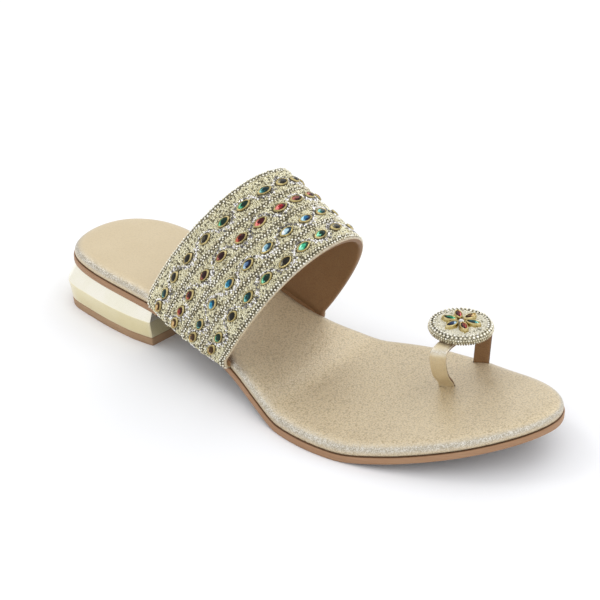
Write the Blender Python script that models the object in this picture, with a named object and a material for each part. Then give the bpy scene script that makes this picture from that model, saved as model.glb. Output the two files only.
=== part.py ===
"""Toe ring sandal for the right foot: a thin sole on a one inch heel, one wide instep strap and a toe ring.

Every length is in metres. The sole stands on z = 0 with its toe towards +Y and its outer side towards +X.
A station is a distance along the sole from the back of the heel to the tip of the toe.
"""

from collections import namedtuple

import bmesh
import bpy
import numpy as np

MM = 0.001
CLEARANCE = 0.3 * MM

# --- sole ----------------------------------------------------------------------------------------

SOLE_LENGTH = 250 * MM
HEEL_TIP_X = -0.3 * MM
TOE_TIP_X = -11.6 * MM
OUTSOLE_THICKNESS = 3.0 * MM
OUTSOLE_PROUD = 0.6 * MM
OUTSOLE_CHAMFER = 0.5 * MM
INSOLE_THICKNESS = 5.2 * MM
SOLE_STATIONS = 56

Width = namedtuple("Width", "station outer inner")
SOLE_PLAN = (
    Width(6 * MM, 17.3 * MM, -18.4 * MM),
    Width(22 * MM, 25.3 * MM, -28.0 * MM),
    Width(50 * MM, 29.0 * MM, -27.3 * MM),
    Width(85 * MM, 31.2 * MM, -22.4 * MM),
    Width(120 * MM, 38.2 * MM, -18.8 * MM),
    Width(155 * MM, 49.1 * MM, -32.7 * MM),
    Width(185 * MM, 48.6 * MM, -42.0 * MM),
    Width(212 * MM, 37.5 * MM, -37.4 * MM),
    Width(234 * MM, 21.6 * MM, -29.9 * MM),
)

# Height of the underside over the floor: level heel seat, shank, flat tread at the ball, toe spring.
Height = namedtuple("Height", "station height")
TREAD_START = 153 * MM
TREAD_END = 181 * MM
UNDERSIDE = (
    Height(0, 19.3 * MM),
    Height(36 * MM, 19.0 * MM),
    Height(60 * MM, 18.0 * MM),
    Height(90 * MM, 14.7 * MM),
    Height(120 * MM, 9.0 * MM),
    Height(138 * MM, 3.9 * MM),
    Height(TREAD_START, 0),
    Height(TREAD_END, 0),
    Height(200 * MM, 2.7 * MM),
    Height(225 * MM, 8.2 * MM),
    Height(SOLE_LENGTH, 14.8 * MM),
)

# Rounded side of the insole, from its lower edge to its top face.
Edge = namedtuple("Edge", "inset rise")
INSOLE_EDGE = (
    Edge(0.7 * MM, 0),
    Edge(0.1 * MM, 0.5 * MM),
    Edge(0, 1.6 * MM),
    Edge(0.3 * MM, 2.8 * MM),
    Edge(1.2 * MM, 4.0 * MM),
    Edge(2.6 * MM, 4.8 * MM),
    Edge(4.6 * MM, INSOLE_THICKNESS),
)

# --- heel ----------------------------------------------------------------------------------------

TOP_LIFT_HEIGHT = 4.0 * MM
RIDGE_HEIGHT = 12.7 * MM
HEEL_POINTS = 72
HEEL_AXIS_X = -2.6 * MM
HEEL_TURN = np.radians(4.2)
SEAT_INSET = 0.4 * MM
SEAT_BREAST = 67.6 * MM

# Plan of the heel block's foot about its own axis, from a corner of its breast to its back.
Half = namedtuple("Half", "run half_width")
HEEL_PLAN = (
    Half(68.0 * MM, 25.6 * MM),
    Half(67.4 * MM, 27.2 * MM),
    Half(65.6 * MM, 28.2 * MM),
    Half(59.0 * MM, 29.6 * MM),
    Half(50.0 * MM, 30.2 * MM),
    Half(38.0 * MM, 30.1 * MM),
    Half(24.0 * MM, 29.1 * MM),
    Half(12.6 * MM, 26.6 * MM),
    Half(6.8 * MM, 20.0 * MM),
    Half(3.9 * MM, 10.0 * MM),
)
HEEL_BACK = 3.0 * MM
RIDGE_FLARE = 1.4 * MM
LIFT_FLARE = -0.1 * MM
FLOOR_FLARE = -0.4 * MM

# --- instep strap --------------------------------------------------------------------------------

STRAP_THICKNESS = 2.6 * MM
STRAP_RIM = 0.7 * MM
STRAP_TAIL = 8.0 * MM
STRAP_BEND = 3.5 * MM
STRAP_UPRIGHT = 5.5 * MM
STRAP_BOW = 3.5 * MM
STRAP_BOW_SHAPE = 0.6
STRAP_LEAN_SHAPE = 0.93
STRAP_ARCH_STEPS = 40
STRAP_WIDTH_STEPS = 8

# An arch of the strap from its outer foot to its inner foot. Proud is how far a foot stands outside the
# sole's plan, rise is the crown over the uprights, lean and skew shift the crown forwards and sideways,
# square is the exponent of the arch and bulge swells its outer side.
Arch = namedtuple("Arch", "outer_station inner_station outer_proud inner_proud rise lean skew square bulge")
REAR_ARCH = Arch(65.2 * MM, 74.8 * MM, 1.2 * MM, 2.3 * MM, 61.2 * MM, 36.9 * MM, -3.3 * MM, 2.41, 1.0 * MM)
FRONT_ARCH = Arch(118.0 * MM, 123.5 * MM, 2.2 * MM, 2.3 * MM, 52.1 * MM, 29.2 * MM, -4.0 * MM, 2.03, 5.0 * MM)

# --- toe ring and its plate ----------------------------------------------------------------------

RING_STATION = 196.2 * MM
RING_CENTRE_X = -22.2 * MM
RING_WIDTH = 6.9 * MM
RING_THICKNESS = 1.5 * MM
RING_RIM = 0.35 * MM
RING_SLANT = np.radians(23)
RING_STEPS = 48
RING_WIDTH_STEPS = 2

# Outer face of the ring's strip, from the outer leg over the toe to the inner leg. The legs stand upright
# in their slits, so the two feet are straight runs below height 0, the top face of the insole.
Turn = namedtuple("Turn", "across height")
RING_FOOT_DEPTH = 4.9 * MM
RING_LOOP = (
    Turn(12.0 * MM, 0.4 * MM),
    Turn(16.0 * MM, 6.3 * MM),
    Turn(18.7 * MM, 12.0 * MM),
    Turn(19.5 * MM, 16.8 * MM),
    Turn(18.6 * MM, 20.4 * MM),
    Turn(15.4 * MM, 22.1 * MM),
    Turn(9.0 * MM, 22.4 * MM),
    Turn(-5.0 * MM, 22.4 * MM),
    Turn(-11.6 * MM, 22.1 * MM),
    Turn(-14.8 * MM, 20.4 * MM),
    Turn(-15.8 * MM, 16.6 * MM),
    Turn(-15.6 * MM, 11.0 * MM),
    Turn(-15.2 * MM, 5.5 * MM),
    Turn(-14.9 * MM, 0.4 * MM),
)

PLATE_X = -20.2 * MM
PLATE_STATION = 195.2 * MM
PLATE_TOP = 36.6 * MM
PLATE_TILT = 1.0
PLATE_POINTS = 64

# Half profile of the plate under its top face.
Turned = namedtuple("Turned", "radius depth")
PLATE_PROFILE = (
    Turned(11.6 * MM, 3.0 * MM),
    Turned(13.0 * MM, 2.6 * MM),
    Turned(13.5 * MM, 1.7 * MM),
    Turned(13.4 * MM, 0.9 * MM),
    Turned(12.7 * MM, 0.3 * MM),
    Turned(11.2 * MM, 0.0),
)

PETALS = 6
PETAL_TURN = -14.0
PETAL_RADIUS = 5.1 * MM
PETAL_LENGTH = 7.2 * MM
PETAL_WIDTH = 3.8 * MM
PETAL_POINTS = 8
CENTRE_STONE_RADIUS = 1.4 * MM

# Height and share of the full outline of a set stone: wall of the setting, its lip and the stone's table.
Facet = namedtuple("Facet", "share height")
STONE_PROFILE = (
    Facet(1.0, 0.0),
    Facet(1.0, 1.1 * MM),
    Facet(0.86, 1.4 * MM),
    Facet(0.45, 1.9 * MM),
)

# --- finishes ------------------------------------------------------------------------------------

Finish = namedtuple("Finish", "color roughness metallic")
FINISHES = {
    "champagne_leatherette": Finish((0.66, 0.57, 0.41), 0.38, 0.45),
    "tan_sole": Finish((0.44, 0.20, 0.11), 0.55, 0.0),
    "gold_heel": Finish((0.83, 0.75, 0.50), 0.18, 0.9),
    "top_lift_brown": Finish((0.36, 0.22, 0.13), 0.6, 0.0),
    "beaded_strap": Finish((0.62, 0.56, 0.42), 0.45, 0.4),
    "plate_glitter": Finish((0.80, 0.77, 0.68), 0.4, 0.3),
    "gold_setting": Finish((0.80, 0.56, 0.22), 0.25, 0.9),
    "crystal": Finish((0.90, 0.90, 0.88), 0.05, 0.1),
}


# --- curves --------------------------------------------------------------------------------------

def closed_spline(points, samples):
    """Places along the smooth closed curve through the points, the same number in every span."""
    count = len(points)
    span = np.linalg.norm(np.roll(points, -1, axis=0) - points, axis=1)
    slope = (np.roll(points, -1, axis=0) - points) / span[:, None]
    system = np.zeros((count, count))
    for k in range(count):
        system[k, k - 1] += span[k - 1]
        system[k, k] += 2 * (span[k - 1] + span[k])
        system[k, (k + 1) % count] += span[k]
    bend = np.linalg.solve(system, 6 * (slope - np.roll(slope, 1, axis=0)))
    share = np.linspace(0, 1, samples, endpoint=False)[:, None]
    spans = []
    for k in range(count):
        after = (k + 1) % count
        straight = (1 - share) * points[k] + share * points[after]
        start = ((1 - share) ** 3 - (1 - share)) * bend[k]
        end = (share ** 3 - share) * bend[after]
        spans.append(straight + (start + end) * span[k] ** 2 / 6)
    return np.vstack(spans)


def open_spline(points, first, last, samples):
    """Places along the smooth curve through the points that starts and ends in the given directions."""
    count = len(points)
    span = np.linalg.norm(np.diff(points, axis=0), axis=1)
    slope = np.diff(points, axis=0) / span[:, None]
    system = np.zeros((count, count))
    pull = np.zeros(points.shape)
    system[0, :2] = 2 * span[0], span[0]
    system[-1, -2:] = span[-1], 2 * span[-1]
    pull[0] = 6 * (slope[0] - first)
    pull[-1] = 6 * (last - slope[-1])
    for k in range(1, count - 1):
        system[k, k - 1:k + 2] = span[k - 1], 2 * (span[k - 1] + span[k]), span[k]
        pull[k] = 6 * (slope[k] - slope[k - 1])
    bend = np.linalg.solve(system, pull)
    place = np.concatenate([[0], np.cumsum(span)])
    path = []
    for s in np.linspace(0, place[-1], samples):
        k = min(np.searchsorted(place, s, side="right") - 1, count - 2)
        after = (s - place[k]) / span[k]
        before = 1 - after
        swell = (before ** 3 - before) * bend[k] + (after ** 3 - after) * bend[k + 1]
        path.append(before * points[k] + after * points[k + 1] + swell * span[k] ** 2 / 6)
    return np.array(path)


def level_spline(rows, place):
    """Smooth curve through (station, height) rows that never passes above or below two neighbours."""
    known, value = np.array(rows, float).T
    span = np.diff(known)
    rise = np.diff(value) / span
    slope = np.concatenate([rise[:1], np.zeros(len(rows) - 2), rise[-1:]])
    for k in range(1, len(rows) - 1):
        if rise[k - 1] * rise[k] > 0:
            early = 2 * span[k] + span[k - 1]
            late = span[k] + 2 * span[k - 1]
            slope[k] = (early + late) / (early / rise[k - 1] + late / rise[k])
    place = np.clip(place, known[0], known[-1])
    k = np.clip(np.searchsorted(known, place, side="right") - 1, 0, len(span) - 1)
    u = (place - known[k]) / span[k]
    ends = (1 + 2 * u) * (1 - u) ** 2 * value[k] + u * u * (3 - 2 * u) * value[k + 1]
    tilts = u * (1 - u) ** 2 * slope[k] - u * u * (1 - u) * slope[k + 1]
    return ends + tilts * span[k]


def unit(vectors):
    return vectors / np.linalg.norm(vectors, axis=-1, keepdims=True)


# --- the sole's plan -----------------------------------------------------------------------------

def plan_curve():
    """The sole's outline, dense and anticlockwise from the heel tip, with its outward normals."""
    outer = [(row.outer, row.station) for row in SOLE_PLAN]
    inner = [(row.inner, row.station) for row in reversed(SOLE_PLAN)]
    points = [(HEEL_TIP_X, 0)] + outer + [(TOE_TIP_X, SOLE_LENGTH)] + inner
    curve = closed_spline(np.array(points), 60)
    ahead = np.roll(curve, -1, axis=0) - np.roll(curve, 1, axis=0)
    normal = unit(np.stack([ahead[:, 1], -ahead[:, 0]], axis=1))
    return curve, normal


PLAN, PLAN_NORMAL = plan_curve()
HEEL_TIP = int(PLAN[:, 1].argmin())
TOE_TIP = int(PLAN[:, 1].argmax())


def plan_side(stations, outer):
    """Outline places and normals at the given stations, on the outer or on the inner side."""
    count = len(PLAN)
    if outer:
        index = np.arange(HEEL_TIP, TOE_TIP + (0 if TOE_TIP > HEEL_TIP else count) + 1) % count
    else:
        index = np.arange(TOE_TIP, HEEL_TIP + (0 if HEEL_TIP > TOE_TIP else count) + 1)[::-1] % count
    line, normal = PLAN[index], PLAN_NORMAL[index]
    place = np.stack([np.interp(stations, line[:, 1], line[:, 0]), stations], axis=-1)
    across = [np.interp(stations, line[:, 1], normal[:, axis]) for axis in (0, 1)]
    return place, unit(np.stack(across, axis=-1))


def underside(station):
    return level_spline(UNDERSIDE, station)


def sole_ring(inset, rise):
    """A closed ring at an inset from the plan and a rise over the underside, heel tip first."""
    turn = np.linspace(0, np.pi, SOLE_STATIONS + 1)
    first, last = PLAN[HEEL_TIP, 1], PLAN[TOE_TIP, 1]
    stations = first + (last - first) * (1 - np.cos(turn)) / 2
    outer, outer_normal = plan_side(stations, True)
    inner, inner_normal = plan_side(stations[1:-1][::-1], False)
    ring = np.vstack([outer, inner]) - inset * np.vstack([outer_normal, inner_normal])
    return np.column_stack([ring, underside(ring[:, 1]) + rise])


# --- solids --------------------------------------------------------------------------------------

def add_object(name, points, faces, finish, parent):
    mesh = bpy.data.meshes.new(name)
    mesh.from_pydata([tuple(point) for point in points], [], faces)
    flat = bmesh.new()
    flat.from_mesh(mesh)
    bmesh.ops.triangulate(flat, faces=[face for face in flat.faces if len(face.verts) == 4])
    flat.to_mesh(mesh)
    flat.free()
    piece = bpy.data.objects.new(name, mesh)
    bpy.context.scene.collection.objects.link(piece)
    if finish:
        mesh.materials.append(material(finish))
    mesh.shade_smooth()
    mesh.set_sharp_from_angle(angle=np.radians(32))
    piece.parent = parent
    return piece


def material(finish):
    """The Principled material of a finish, made once."""
    known = bpy.data.materials.get(finish)
    if known:
        return known
    made = bpy.data.materials.new(finish)
    made.use_nodes = True
    shader = made.node_tree.nodes["Principled BSDF"]
    values = FINISHES[finish]
    shader.inputs["Base Color"].default_value = (*values.color, 1.0)
    shader.inputs["Roughness"].default_value = values.roughness
    shader.inputs["Metallic"].default_value = values.metallic
    return made


def ladder_cap(first, count, upwards):
    """Faces that close a ring of the sole or heel with rungs from its outer to its inner side."""
    faces = []
    for k in range(count // 2):
        left, right = (count - k) % count, count - k - 1
        face = [first + k, first + k + 1, first + right, first + left]
        if k == 0:
            face = face[:3]
        if k + 1 == right:
            face = [first + k, first + k + 1, first + left]
        faces.append(face if upwards else face[::-1])
    return faces


def rung_cap(first, count, upwards):
    """Faces that close a ring with rungs between its first and its last half."""
    faces = []
    for k in range((count - 1) // 2):
        far, near = count - 1 - k, count - 2 - k
        face = [first + k, first + k + 1, first + near, first + far]
        if k + 1 == near:
            face = [first + k, first + k + 1, first + far]
        faces.append(face if upwards else face[::-1])
    return faces


def stacked(rings, bottom_cap, top_cap):
    """Points and faces of a solid from anticlockwise rings in order from its bottom to its top."""
    count = len(rings[0])
    faces = []
    for level in range(len(rings) - 1):
        low, high = level * count, (level + 1) * count
        for k in range(count):
            after = (k + 1) % count
            faces.append([low + k, low + after, high + after, high + k])
    return np.vstack(rings), bottom_cap(0, count, False) + faces + top_cap((len(rings) - 1) * count, count, True)


def flat_cap(first, count, upwards):
    face = list(range(first, first + count))
    return [face if upwards else face[::-1]]


def band(surface, thickness, rim, grow=0.0):
    """Points and faces of a strip whose outer face is the surface, a grid of rows along it by places across.

    The strip is thickness deep with chamfered rims, and grow makes every face of it stand out further.
    """
    across = np.gradient(surface, axis=1)
    along = np.gradient(surface, axis=0)
    normal = unit(np.cross(across, along))
    side = unit(across)
    surface = surface + normal * grow
    surface[:, 0] -= side[:, 0] * grow
    surface[:, -1] += side[:, -1] * grow
    depth = thickness + 2 * grow
    ends = unit(along)
    surface[0] -= ends[0] * grow
    surface[-1] += ends[-1] * grow
    outer = surface.copy()
    outer[:, 0] += side[:, 0] * rim
    outer[:, -1] -= side[:, -1] * rim
    inner = outer - normal * depth
    shallow = surface - normal * rim
    deep = surface - normal * (depth - rim)
    section = np.concatenate([
        shallow[:, :1], outer, shallow[:, -1:], deep[:, -1:], inner[:, ::-1], deep[:, :1],
    ], axis=1)
    rows, count = section.shape[:2]
    faces = []
    for row in range(rows - 1):
        here, there = row * count, (row + 1) * count
        for k in range(count):
            after = (k + 1) % count
            faces.append([here + k, here + after, there + after, there + k])
    faces += rung_cap(0, count, False) + rung_cap((rows - 1) * count, count, True)
    return section.reshape(-1, 3), faces


def cutter(name, points, faces, target, parent):
    """A wire shape that is cut out of the target."""
    tool = add_object(name, points, faces, None, parent)
    tool.hide_render = True
    tool.display_type = "WIRE"
    cut = target.modifiers.new(name, "BOOLEAN")
    cut.operation = "DIFFERENCE"
    cut.solver = "EXACT"
    cut.object = tool


# --- sole pieces ---------------------------------------------------------------------------------

def make_outsole(parent):
    rings = [
        sole_ring(OUTSOLE_CHAMFER - OUTSOLE_PROUD, 0),
        sole_ring(-OUTSOLE_PROUD, OUTSOLE_CHAMFER),
        sole_ring(-OUTSOLE_PROUD, OUTSOLE_THICKNESS - OUTSOLE_CHAMFER),
        sole_ring(OUTSOLE_CHAMFER - OUTSOLE_PROUD, OUTSOLE_THICKNESS),
    ]
    points, faces = stacked(rings, ladder_cap, ladder_cap)
    return add_object("outsole", points, faces, "tan_sole", parent)


def make_insole(parent):
    seat = OUTSOLE_THICKNESS + CLEARANCE
    rings = [sole_ring(edge.inset, seat + edge.rise) for edge in INSOLE_EDGE]
    points, faces = stacked(rings, ladder_cap, ladder_cap)
    insole = add_object("insole", points, faces, "champagne_leatherette", parent)
    cutter("strap_pocket", *band(strap_surface(), STRAP_THICKNESS, STRAP_RIM, CLEARANCE), insole, parent)
    for side, leg in (("outer", RING_LOOP[0]), ("inner", RING_LOOP[-1])):
        cutter(f"ring_slit_{side}", *ring_slit(leg), insole, parent)
    return insole


def even_path(path, count):
    """The same path with its points at equal distances."""
    run = np.concatenate([[0], np.cumsum(np.linalg.norm(np.diff(path, axis=0), axis=1))])
    places = np.linspace(0, run[-1], count)
    return np.stack([np.interp(places, run, path[:, axis]) for axis in (0, 1)], axis=1)


def heel_ring(flare, height):
    """One closed D shaped ring of the heel, from its inner breast corner round the back to the outer one."""
    inner = [(-row.half_width, row.run) for row in HEEL_PLAN]
    outer = [(row.half_width, row.run) for row in reversed(HEEL_PLAN)]
    squared = np.array([-1.0, 0.0])
    path = open_spline(np.array(inner + [(0, HEEL_BACK)] + outer), squared, squared, 4 * HEEL_POINTS)
    path = even_path(path, HEEL_POINTS)
    ahead = unit(np.gradient(path, axis=0))
    across, run = (path + flare * np.stack([ahead[:, 1], -ahead[:, 0]], axis=1)).T
    x = HEEL_AXIS_X + across * np.cos(HEEL_TURN) + run * np.sin(HEEL_TURN)
    y = run * np.cos(HEEL_TURN) - across * np.sin(HEEL_TURN)
    return np.column_stack([x, y, np.full(HEEL_POINTS, height)])


def seat_ring():
    """The top ring of the heel: the sole's plan behind the breast, just under the outsole."""
    line = np.roll(PLAN - SEAT_INSET * PLAN_NORMAL, len(PLAN) // 2 - HEEL_TIP, axis=0)
    run = line[:, 1] * np.cos(HEEL_TURN) + (line[:, 0] - HEEL_AXIS_X) * np.sin(HEEL_TURN)
    path = even_path(line[run < SEAT_BREAST], HEEL_POINTS)
    return np.column_stack([path, underside(path[:, 1]) - CLEARANCE])


def make_heel(parent):
    block_foot = heel_ring(0, TOP_LIFT_HEIGHT + CLEARANCE)
    block = [block_foot, heel_ring(RIDGE_FLARE, RIDGE_HEIGHT), seat_ring()]
    points, faces = stacked(block, rung_cap, rung_cap)
    add_object("heel_block", points, faces, "gold_heel", parent)
    lift = [heel_ring(FLOOR_FLARE, 0), heel_ring(LIFT_FLARE, TOP_LIFT_HEIGHT)]
    points, faces = stacked(lift, rung_cap, rung_cap)
    add_object("heel_top_lift", points, faces, "top_lift_brown", parent)


# --- instep strap --------------------------------------------------------------------------------

def strap_foot(station, proud, outer):
    """Outer face of a strap's foot where it leaves the sole, level with the top of the outsole."""
    place, normal = plan_side(np.array([station]), outer)
    away = 1 if outer else -1
    height = float(underside(station)) + OUTSOLE_THICKNESS + CLEARANCE
    return np.array([place[0, 0] + away * proud, station, height])


def strap_row(share):
    """Outer face of the strap along its whole length at one share of its width, rear rim 0, front rim 1."""
    arch = Arch(*(rear + (front - rear) * share for rear, front in zip(REAR_ARCH, FRONT_ARCH)))
    feet = []
    for outer in (True, False):
        ends = []
        for rim in (REAR_ARCH, FRONT_ARCH):
            station = rim.outer_station if outer else rim.inner_station
            proud = rim.outer_proud if outer else rim.inner_proud
            ends.append(strap_foot(station, proud, outer))
        foot = ends[0] + (ends[1] - ends[0]) * share
        foot[2] = strap_foot(foot[1], 0, outer)[2]
        foot[0] += STRAP_BOW * abs(np.sin(np.pi * share)) ** STRAP_BOW_SHAPE if outer else 0
        feet.append(foot)
    outer_foot, inner_foot = feet
    turn = np.linspace(0, np.pi, STRAP_ARCH_STEPS + 1)[:, None]
    level = np.sign(np.cos(turn)) * np.abs(np.cos(turn)) ** (2 / arch.square)
    rise = np.abs(np.sin(turn)) ** (2 / arch.square)
    over = (outer_foot + inner_foot) / 2 + level * (outer_foot - inner_foot) / 2
    over[:, 0:1] += arch.skew * rise + arch.bulge * np.sin(2 * turn)
    over[:, 1:2] += arch.lean * np.abs(np.sin(turn)) ** STRAP_LEAN_SHAPE
    over[:, 2:3] += arch.rise * rise + STRAP_UPRIGHT
    return np.vstack([strap_tail(outer_foot, 1), over, strap_tail(inner_foot, -1)[::-1]])


def strap_tail(foot, away):
    """The end of the strap that lies on the outsole, and its bend up round the edge of the insole."""
    bend = np.linspace(0, np.pi / 2, 5)
    across = foot[0] - away * STRAP_BEND * (1 - np.sin(bend))
    rise = foot[2] + STRAP_BEND * (1 - np.cos(bend))
    across = np.concatenate([[across[0] - away * STRAP_TAIL], across])
    rise = np.concatenate([[rise[0]], rise])
    return np.stack([across, np.full(6, foot[1]), rise], axis=1)


def strap_surface():
    shares = np.linspace(0, 1, STRAP_WIDTH_STEPS + 1)
    return np.stack([strap_row(share) for share in shares], axis=1)


def make_strap(parent):
    points, faces = band(strap_surface(), STRAP_THICKNESS, STRAP_RIM)
    return add_object("instep_strap", points, faces, "beaded_strap", parent)


# --- toe ring ------------------------------------------------------------------------------------

def insole_top(station):
    return float(underside(station)) + OUTSOLE_THICKNESS + CLEARANCE + INSOLE_THICKNESS


def ring_surface():
    """Outer face of the toe ring's strip, leg by leg through its slits and over the toe."""
    loop = open_spline(np.array(RING_LOOP), np.array([0.3, 1.0]), np.array([0.05, -1.0]), RING_STEPS)
    first, last = loop[0].copy(), loop[-1].copy()
    first[1], last[1] = -RING_FOOT_DEPTH, -RING_FOOT_DEPTH
    loop = np.vstack([first, loop, last])
    rows = []
    for share in np.linspace(-0.5, 0.5, RING_WIDTH_STEPS + 1):
        aside = share * RING_WIDTH
        x = RING_CENTRE_X + loop[:, 0] - aside * np.sin(RING_SLANT)
        station = np.full(len(loop), RING_STATION + aside * np.cos(RING_SLANT))
        rows.append(np.stack([x, station, insole_top(RING_STATION) + loop[:, 1]], axis=1))
    return np.stack(rows, axis=1)


def ring_slit(leg):
    """A box through the insole round one leg of the toe ring."""
    along = np.array([-np.sin(RING_SLANT), np.cos(RING_SLANT)])
    across = np.array([np.cos(RING_SLANT), np.sin(RING_SLANT)])
    outer_face = np.array([RING_CENTRE_X + leg.across, RING_STATION])
    middle = outer_face - np.sign(leg.across) * across * RING_THICKNESS / 2
    along *= RING_WIDTH / 2 + CLEARANCE
    across *= RING_THICKNESS / 2 + CLEARANCE
    corners = middle + np.array([-across - along, across - along, across + along, along - across])
    top = insole_top(RING_STATION) + INSOLE_THICKNESS
    bottom = top - 3 * INSOLE_THICKNESS
    rings = [np.column_stack([corners, np.full(4, height)]) for height in (bottom, top)]
    return stacked(rings, flat_cap, flat_cap)


def make_toe_ring(parent):
    points, faces = band(ring_surface(), RING_THICKNESS, RING_RIM)
    return add_object("toe_ring", points, faces, "champagne_leatherette", parent)


# --- plate with its flower of stones ---------------------------------------------------------------

def outline_ellipse(count, length, width):
    turn = np.arange(count) * 2 * np.pi / count
    return np.stack([np.cos(turn) * length / 2, np.sin(turn) * width / 2], axis=1)


def outline_marquise(count, length, width):
    """Outline of a pointed oval: two equal arcs that meet in a point at each end."""
    radius = (length ** 2 + width ** 2) / (4 * width)
    half_turn = np.arcsin(length / 2 / radius)
    turn = np.linspace(half_turn, -half_turn, count + 1)[:-1]
    arc = np.stack([radius * np.sin(turn), radius * np.cos(turn) - radius + width / 2], axis=1)
    return np.vstack([arc, -arc])


def make_plate(parent):
    rings = []
    for turned in PLATE_PROFILE:
        circle = outline_ellipse(PLATE_POINTS, 2 * turned.radius, 2 * turned.radius)
        rings.append(np.column_stack([circle, np.full(PLATE_POINTS, -turned.depth)]))
    points, faces = stacked(rings, flat_cap, flat_cap)
    plate = add_object("ring_disc", points, faces, "plate_glitter", parent)
    plate.location = (PLATE_X, PLATE_STATION, PLATE_TOP)
    plate.rotation_euler = (np.radians(PLATE_TILT), 0, 0)
    return plate


def make_stone(name, outline, finish, plate):
    rings = []
    for facet in STONE_PROFILE:
        height = np.full(len(outline), CLEARANCE + facet.height)
        rings.append(np.column_stack([outline * facet.share, height]))
    points, faces = stacked(rings, flat_cap, flat_cap)
    return add_object(name, points, faces, finish, plate)


def make_flower(plate):
    for k in range(PETALS):
        angle = np.radians(PETAL_TURN + 360 / PETALS * k)
        outline = outline_marquise(PETAL_POINTS, PETAL_LENGTH, PETAL_WIDTH)
        petal = make_stone(f"petal_{k + 1}", outline, "gold_setting", plate)
        petal.location = (PETAL_RADIUS * np.cos(angle), PETAL_RADIUS * np.sin(angle), 0)
        petal.rotation_euler = (0, 0, angle)
    outline = outline_ellipse(12, 2 * CENTRE_STONE_RADIUS, 2 * CENTRE_STONE_RADIUS)
    make_stone("centre_stone", outline, "crystal", plate)


# --- assembly ------------------------------------------------------------------------------------

def centre_on_floor(root):
    """Moves the whole sandal so that the middle of its box stands over the origin."""
    bpy.context.view_layer.update()
    corners = []
    for piece in bpy.context.scene.objects:
        if piece.type == "MESH" and not piece.hide_render:
            corners += [piece.matrix_world @ vertex.co for vertex in piece.data.vertices]
    corners = np.array(corners)
    middle = (corners.min(axis=0) + corners.max(axis=0)) / 2
    root.location = (-middle[0], -middle[1], 0)


def main():
    for piece in list(bpy.data.objects):
        bpy.data.objects.remove(piece, do_unlink=True)
    root = bpy.data.objects.new("sandal", None)
    bpy.context.scene.collection.objects.link(root)
    make_outsole(root)
    make_insole(root)
    make_heel(root)
    make_strap(root)
    make_toe_ring(root)
    plate = make_plate(root)
    make_flower(plate)
    centre_on_floor(root)
    bpy.context.view_layer.update()


main()
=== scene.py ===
# Looks of the toe ring sandal. All sizes in the dictionaries are millimetres in the shoe's own frame:
# x to the outer side, y is the station from the back of the heel to the toe, z up from the floor.
# Patches, pebbles, flakes and the other grains of the finishes are counted per metre.
import math
import bmesh
import bpy
import numpy as np
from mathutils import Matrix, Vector


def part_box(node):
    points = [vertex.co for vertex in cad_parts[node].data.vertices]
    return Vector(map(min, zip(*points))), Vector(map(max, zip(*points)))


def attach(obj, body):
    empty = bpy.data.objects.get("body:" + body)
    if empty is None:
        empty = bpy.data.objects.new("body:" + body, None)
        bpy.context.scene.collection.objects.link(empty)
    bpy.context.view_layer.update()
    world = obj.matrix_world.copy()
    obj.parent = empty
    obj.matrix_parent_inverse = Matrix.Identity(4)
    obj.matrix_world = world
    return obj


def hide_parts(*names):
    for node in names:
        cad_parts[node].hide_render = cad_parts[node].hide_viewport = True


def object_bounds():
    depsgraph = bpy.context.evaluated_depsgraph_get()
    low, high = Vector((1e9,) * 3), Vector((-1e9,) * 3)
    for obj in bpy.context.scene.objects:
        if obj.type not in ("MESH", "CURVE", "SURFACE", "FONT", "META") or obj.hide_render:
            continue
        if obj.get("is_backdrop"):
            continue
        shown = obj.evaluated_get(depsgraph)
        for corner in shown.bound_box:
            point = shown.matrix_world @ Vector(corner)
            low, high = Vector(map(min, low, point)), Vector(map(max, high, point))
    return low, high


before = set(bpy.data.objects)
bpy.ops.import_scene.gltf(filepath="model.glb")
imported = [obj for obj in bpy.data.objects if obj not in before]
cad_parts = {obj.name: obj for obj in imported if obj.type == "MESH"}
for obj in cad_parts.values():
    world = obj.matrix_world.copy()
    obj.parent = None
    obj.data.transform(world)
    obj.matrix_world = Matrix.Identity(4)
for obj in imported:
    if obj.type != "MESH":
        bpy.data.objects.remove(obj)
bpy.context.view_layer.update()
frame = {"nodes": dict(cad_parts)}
scene = bpy.context.scene
luck = np.random.default_rng(11)  # every strewn bead is drawn from this one seed
print("frame loaded")

sole = {
    "length": 250, "heelTipX": -0.3, "toeTipX": -11.6, "outsoleThick": 3.0, "outsoleProud": 0.6,
    "insoleThick": 5.2, "gap": 0.3, "planSteps": 120,
    # station, outer side, inner side
    "plan": [(6, 17.3, -18.4), (22, 25.3, -28.0), (50, 29.0, -27.3), (85, 31.2, -22.4), (120, 38.2, -18.8),
             (155, 49.1, -32.7), (185, 48.6, -42.0), (212, 37.5, -37.4), (234, 21.6, -29.9)],
    # station, height of the underside
    "underside": [(0, 19.3), (36, 19.0), (60, 18.0), (90, 14.7), (120, 9.0), (138, 3.9), (153, 0), (181, 0),
                  (200, 2.7), (225, 8.2), (250, 14.8)],
}


def unit(v):
    return v / np.maximum(np.linalg.norm(v, axis=-1, keepdims=True), 1e-12)


def runOf(path):
    # length along a path up to each of its points
    return np.concatenate([[0], np.cumsum(np.linalg.norm(np.diff(path, axis=0), axis=1))])


def splineSpan(t, start, end, bendStart, bendEnd, span):
    swell = ((1 - t) ** 3 - (1 - t)) * bendStart + (t ** 3 - t) * bendEnd
    return (1 - t) * start + t * end + swell * span ** 2 / 6


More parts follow.
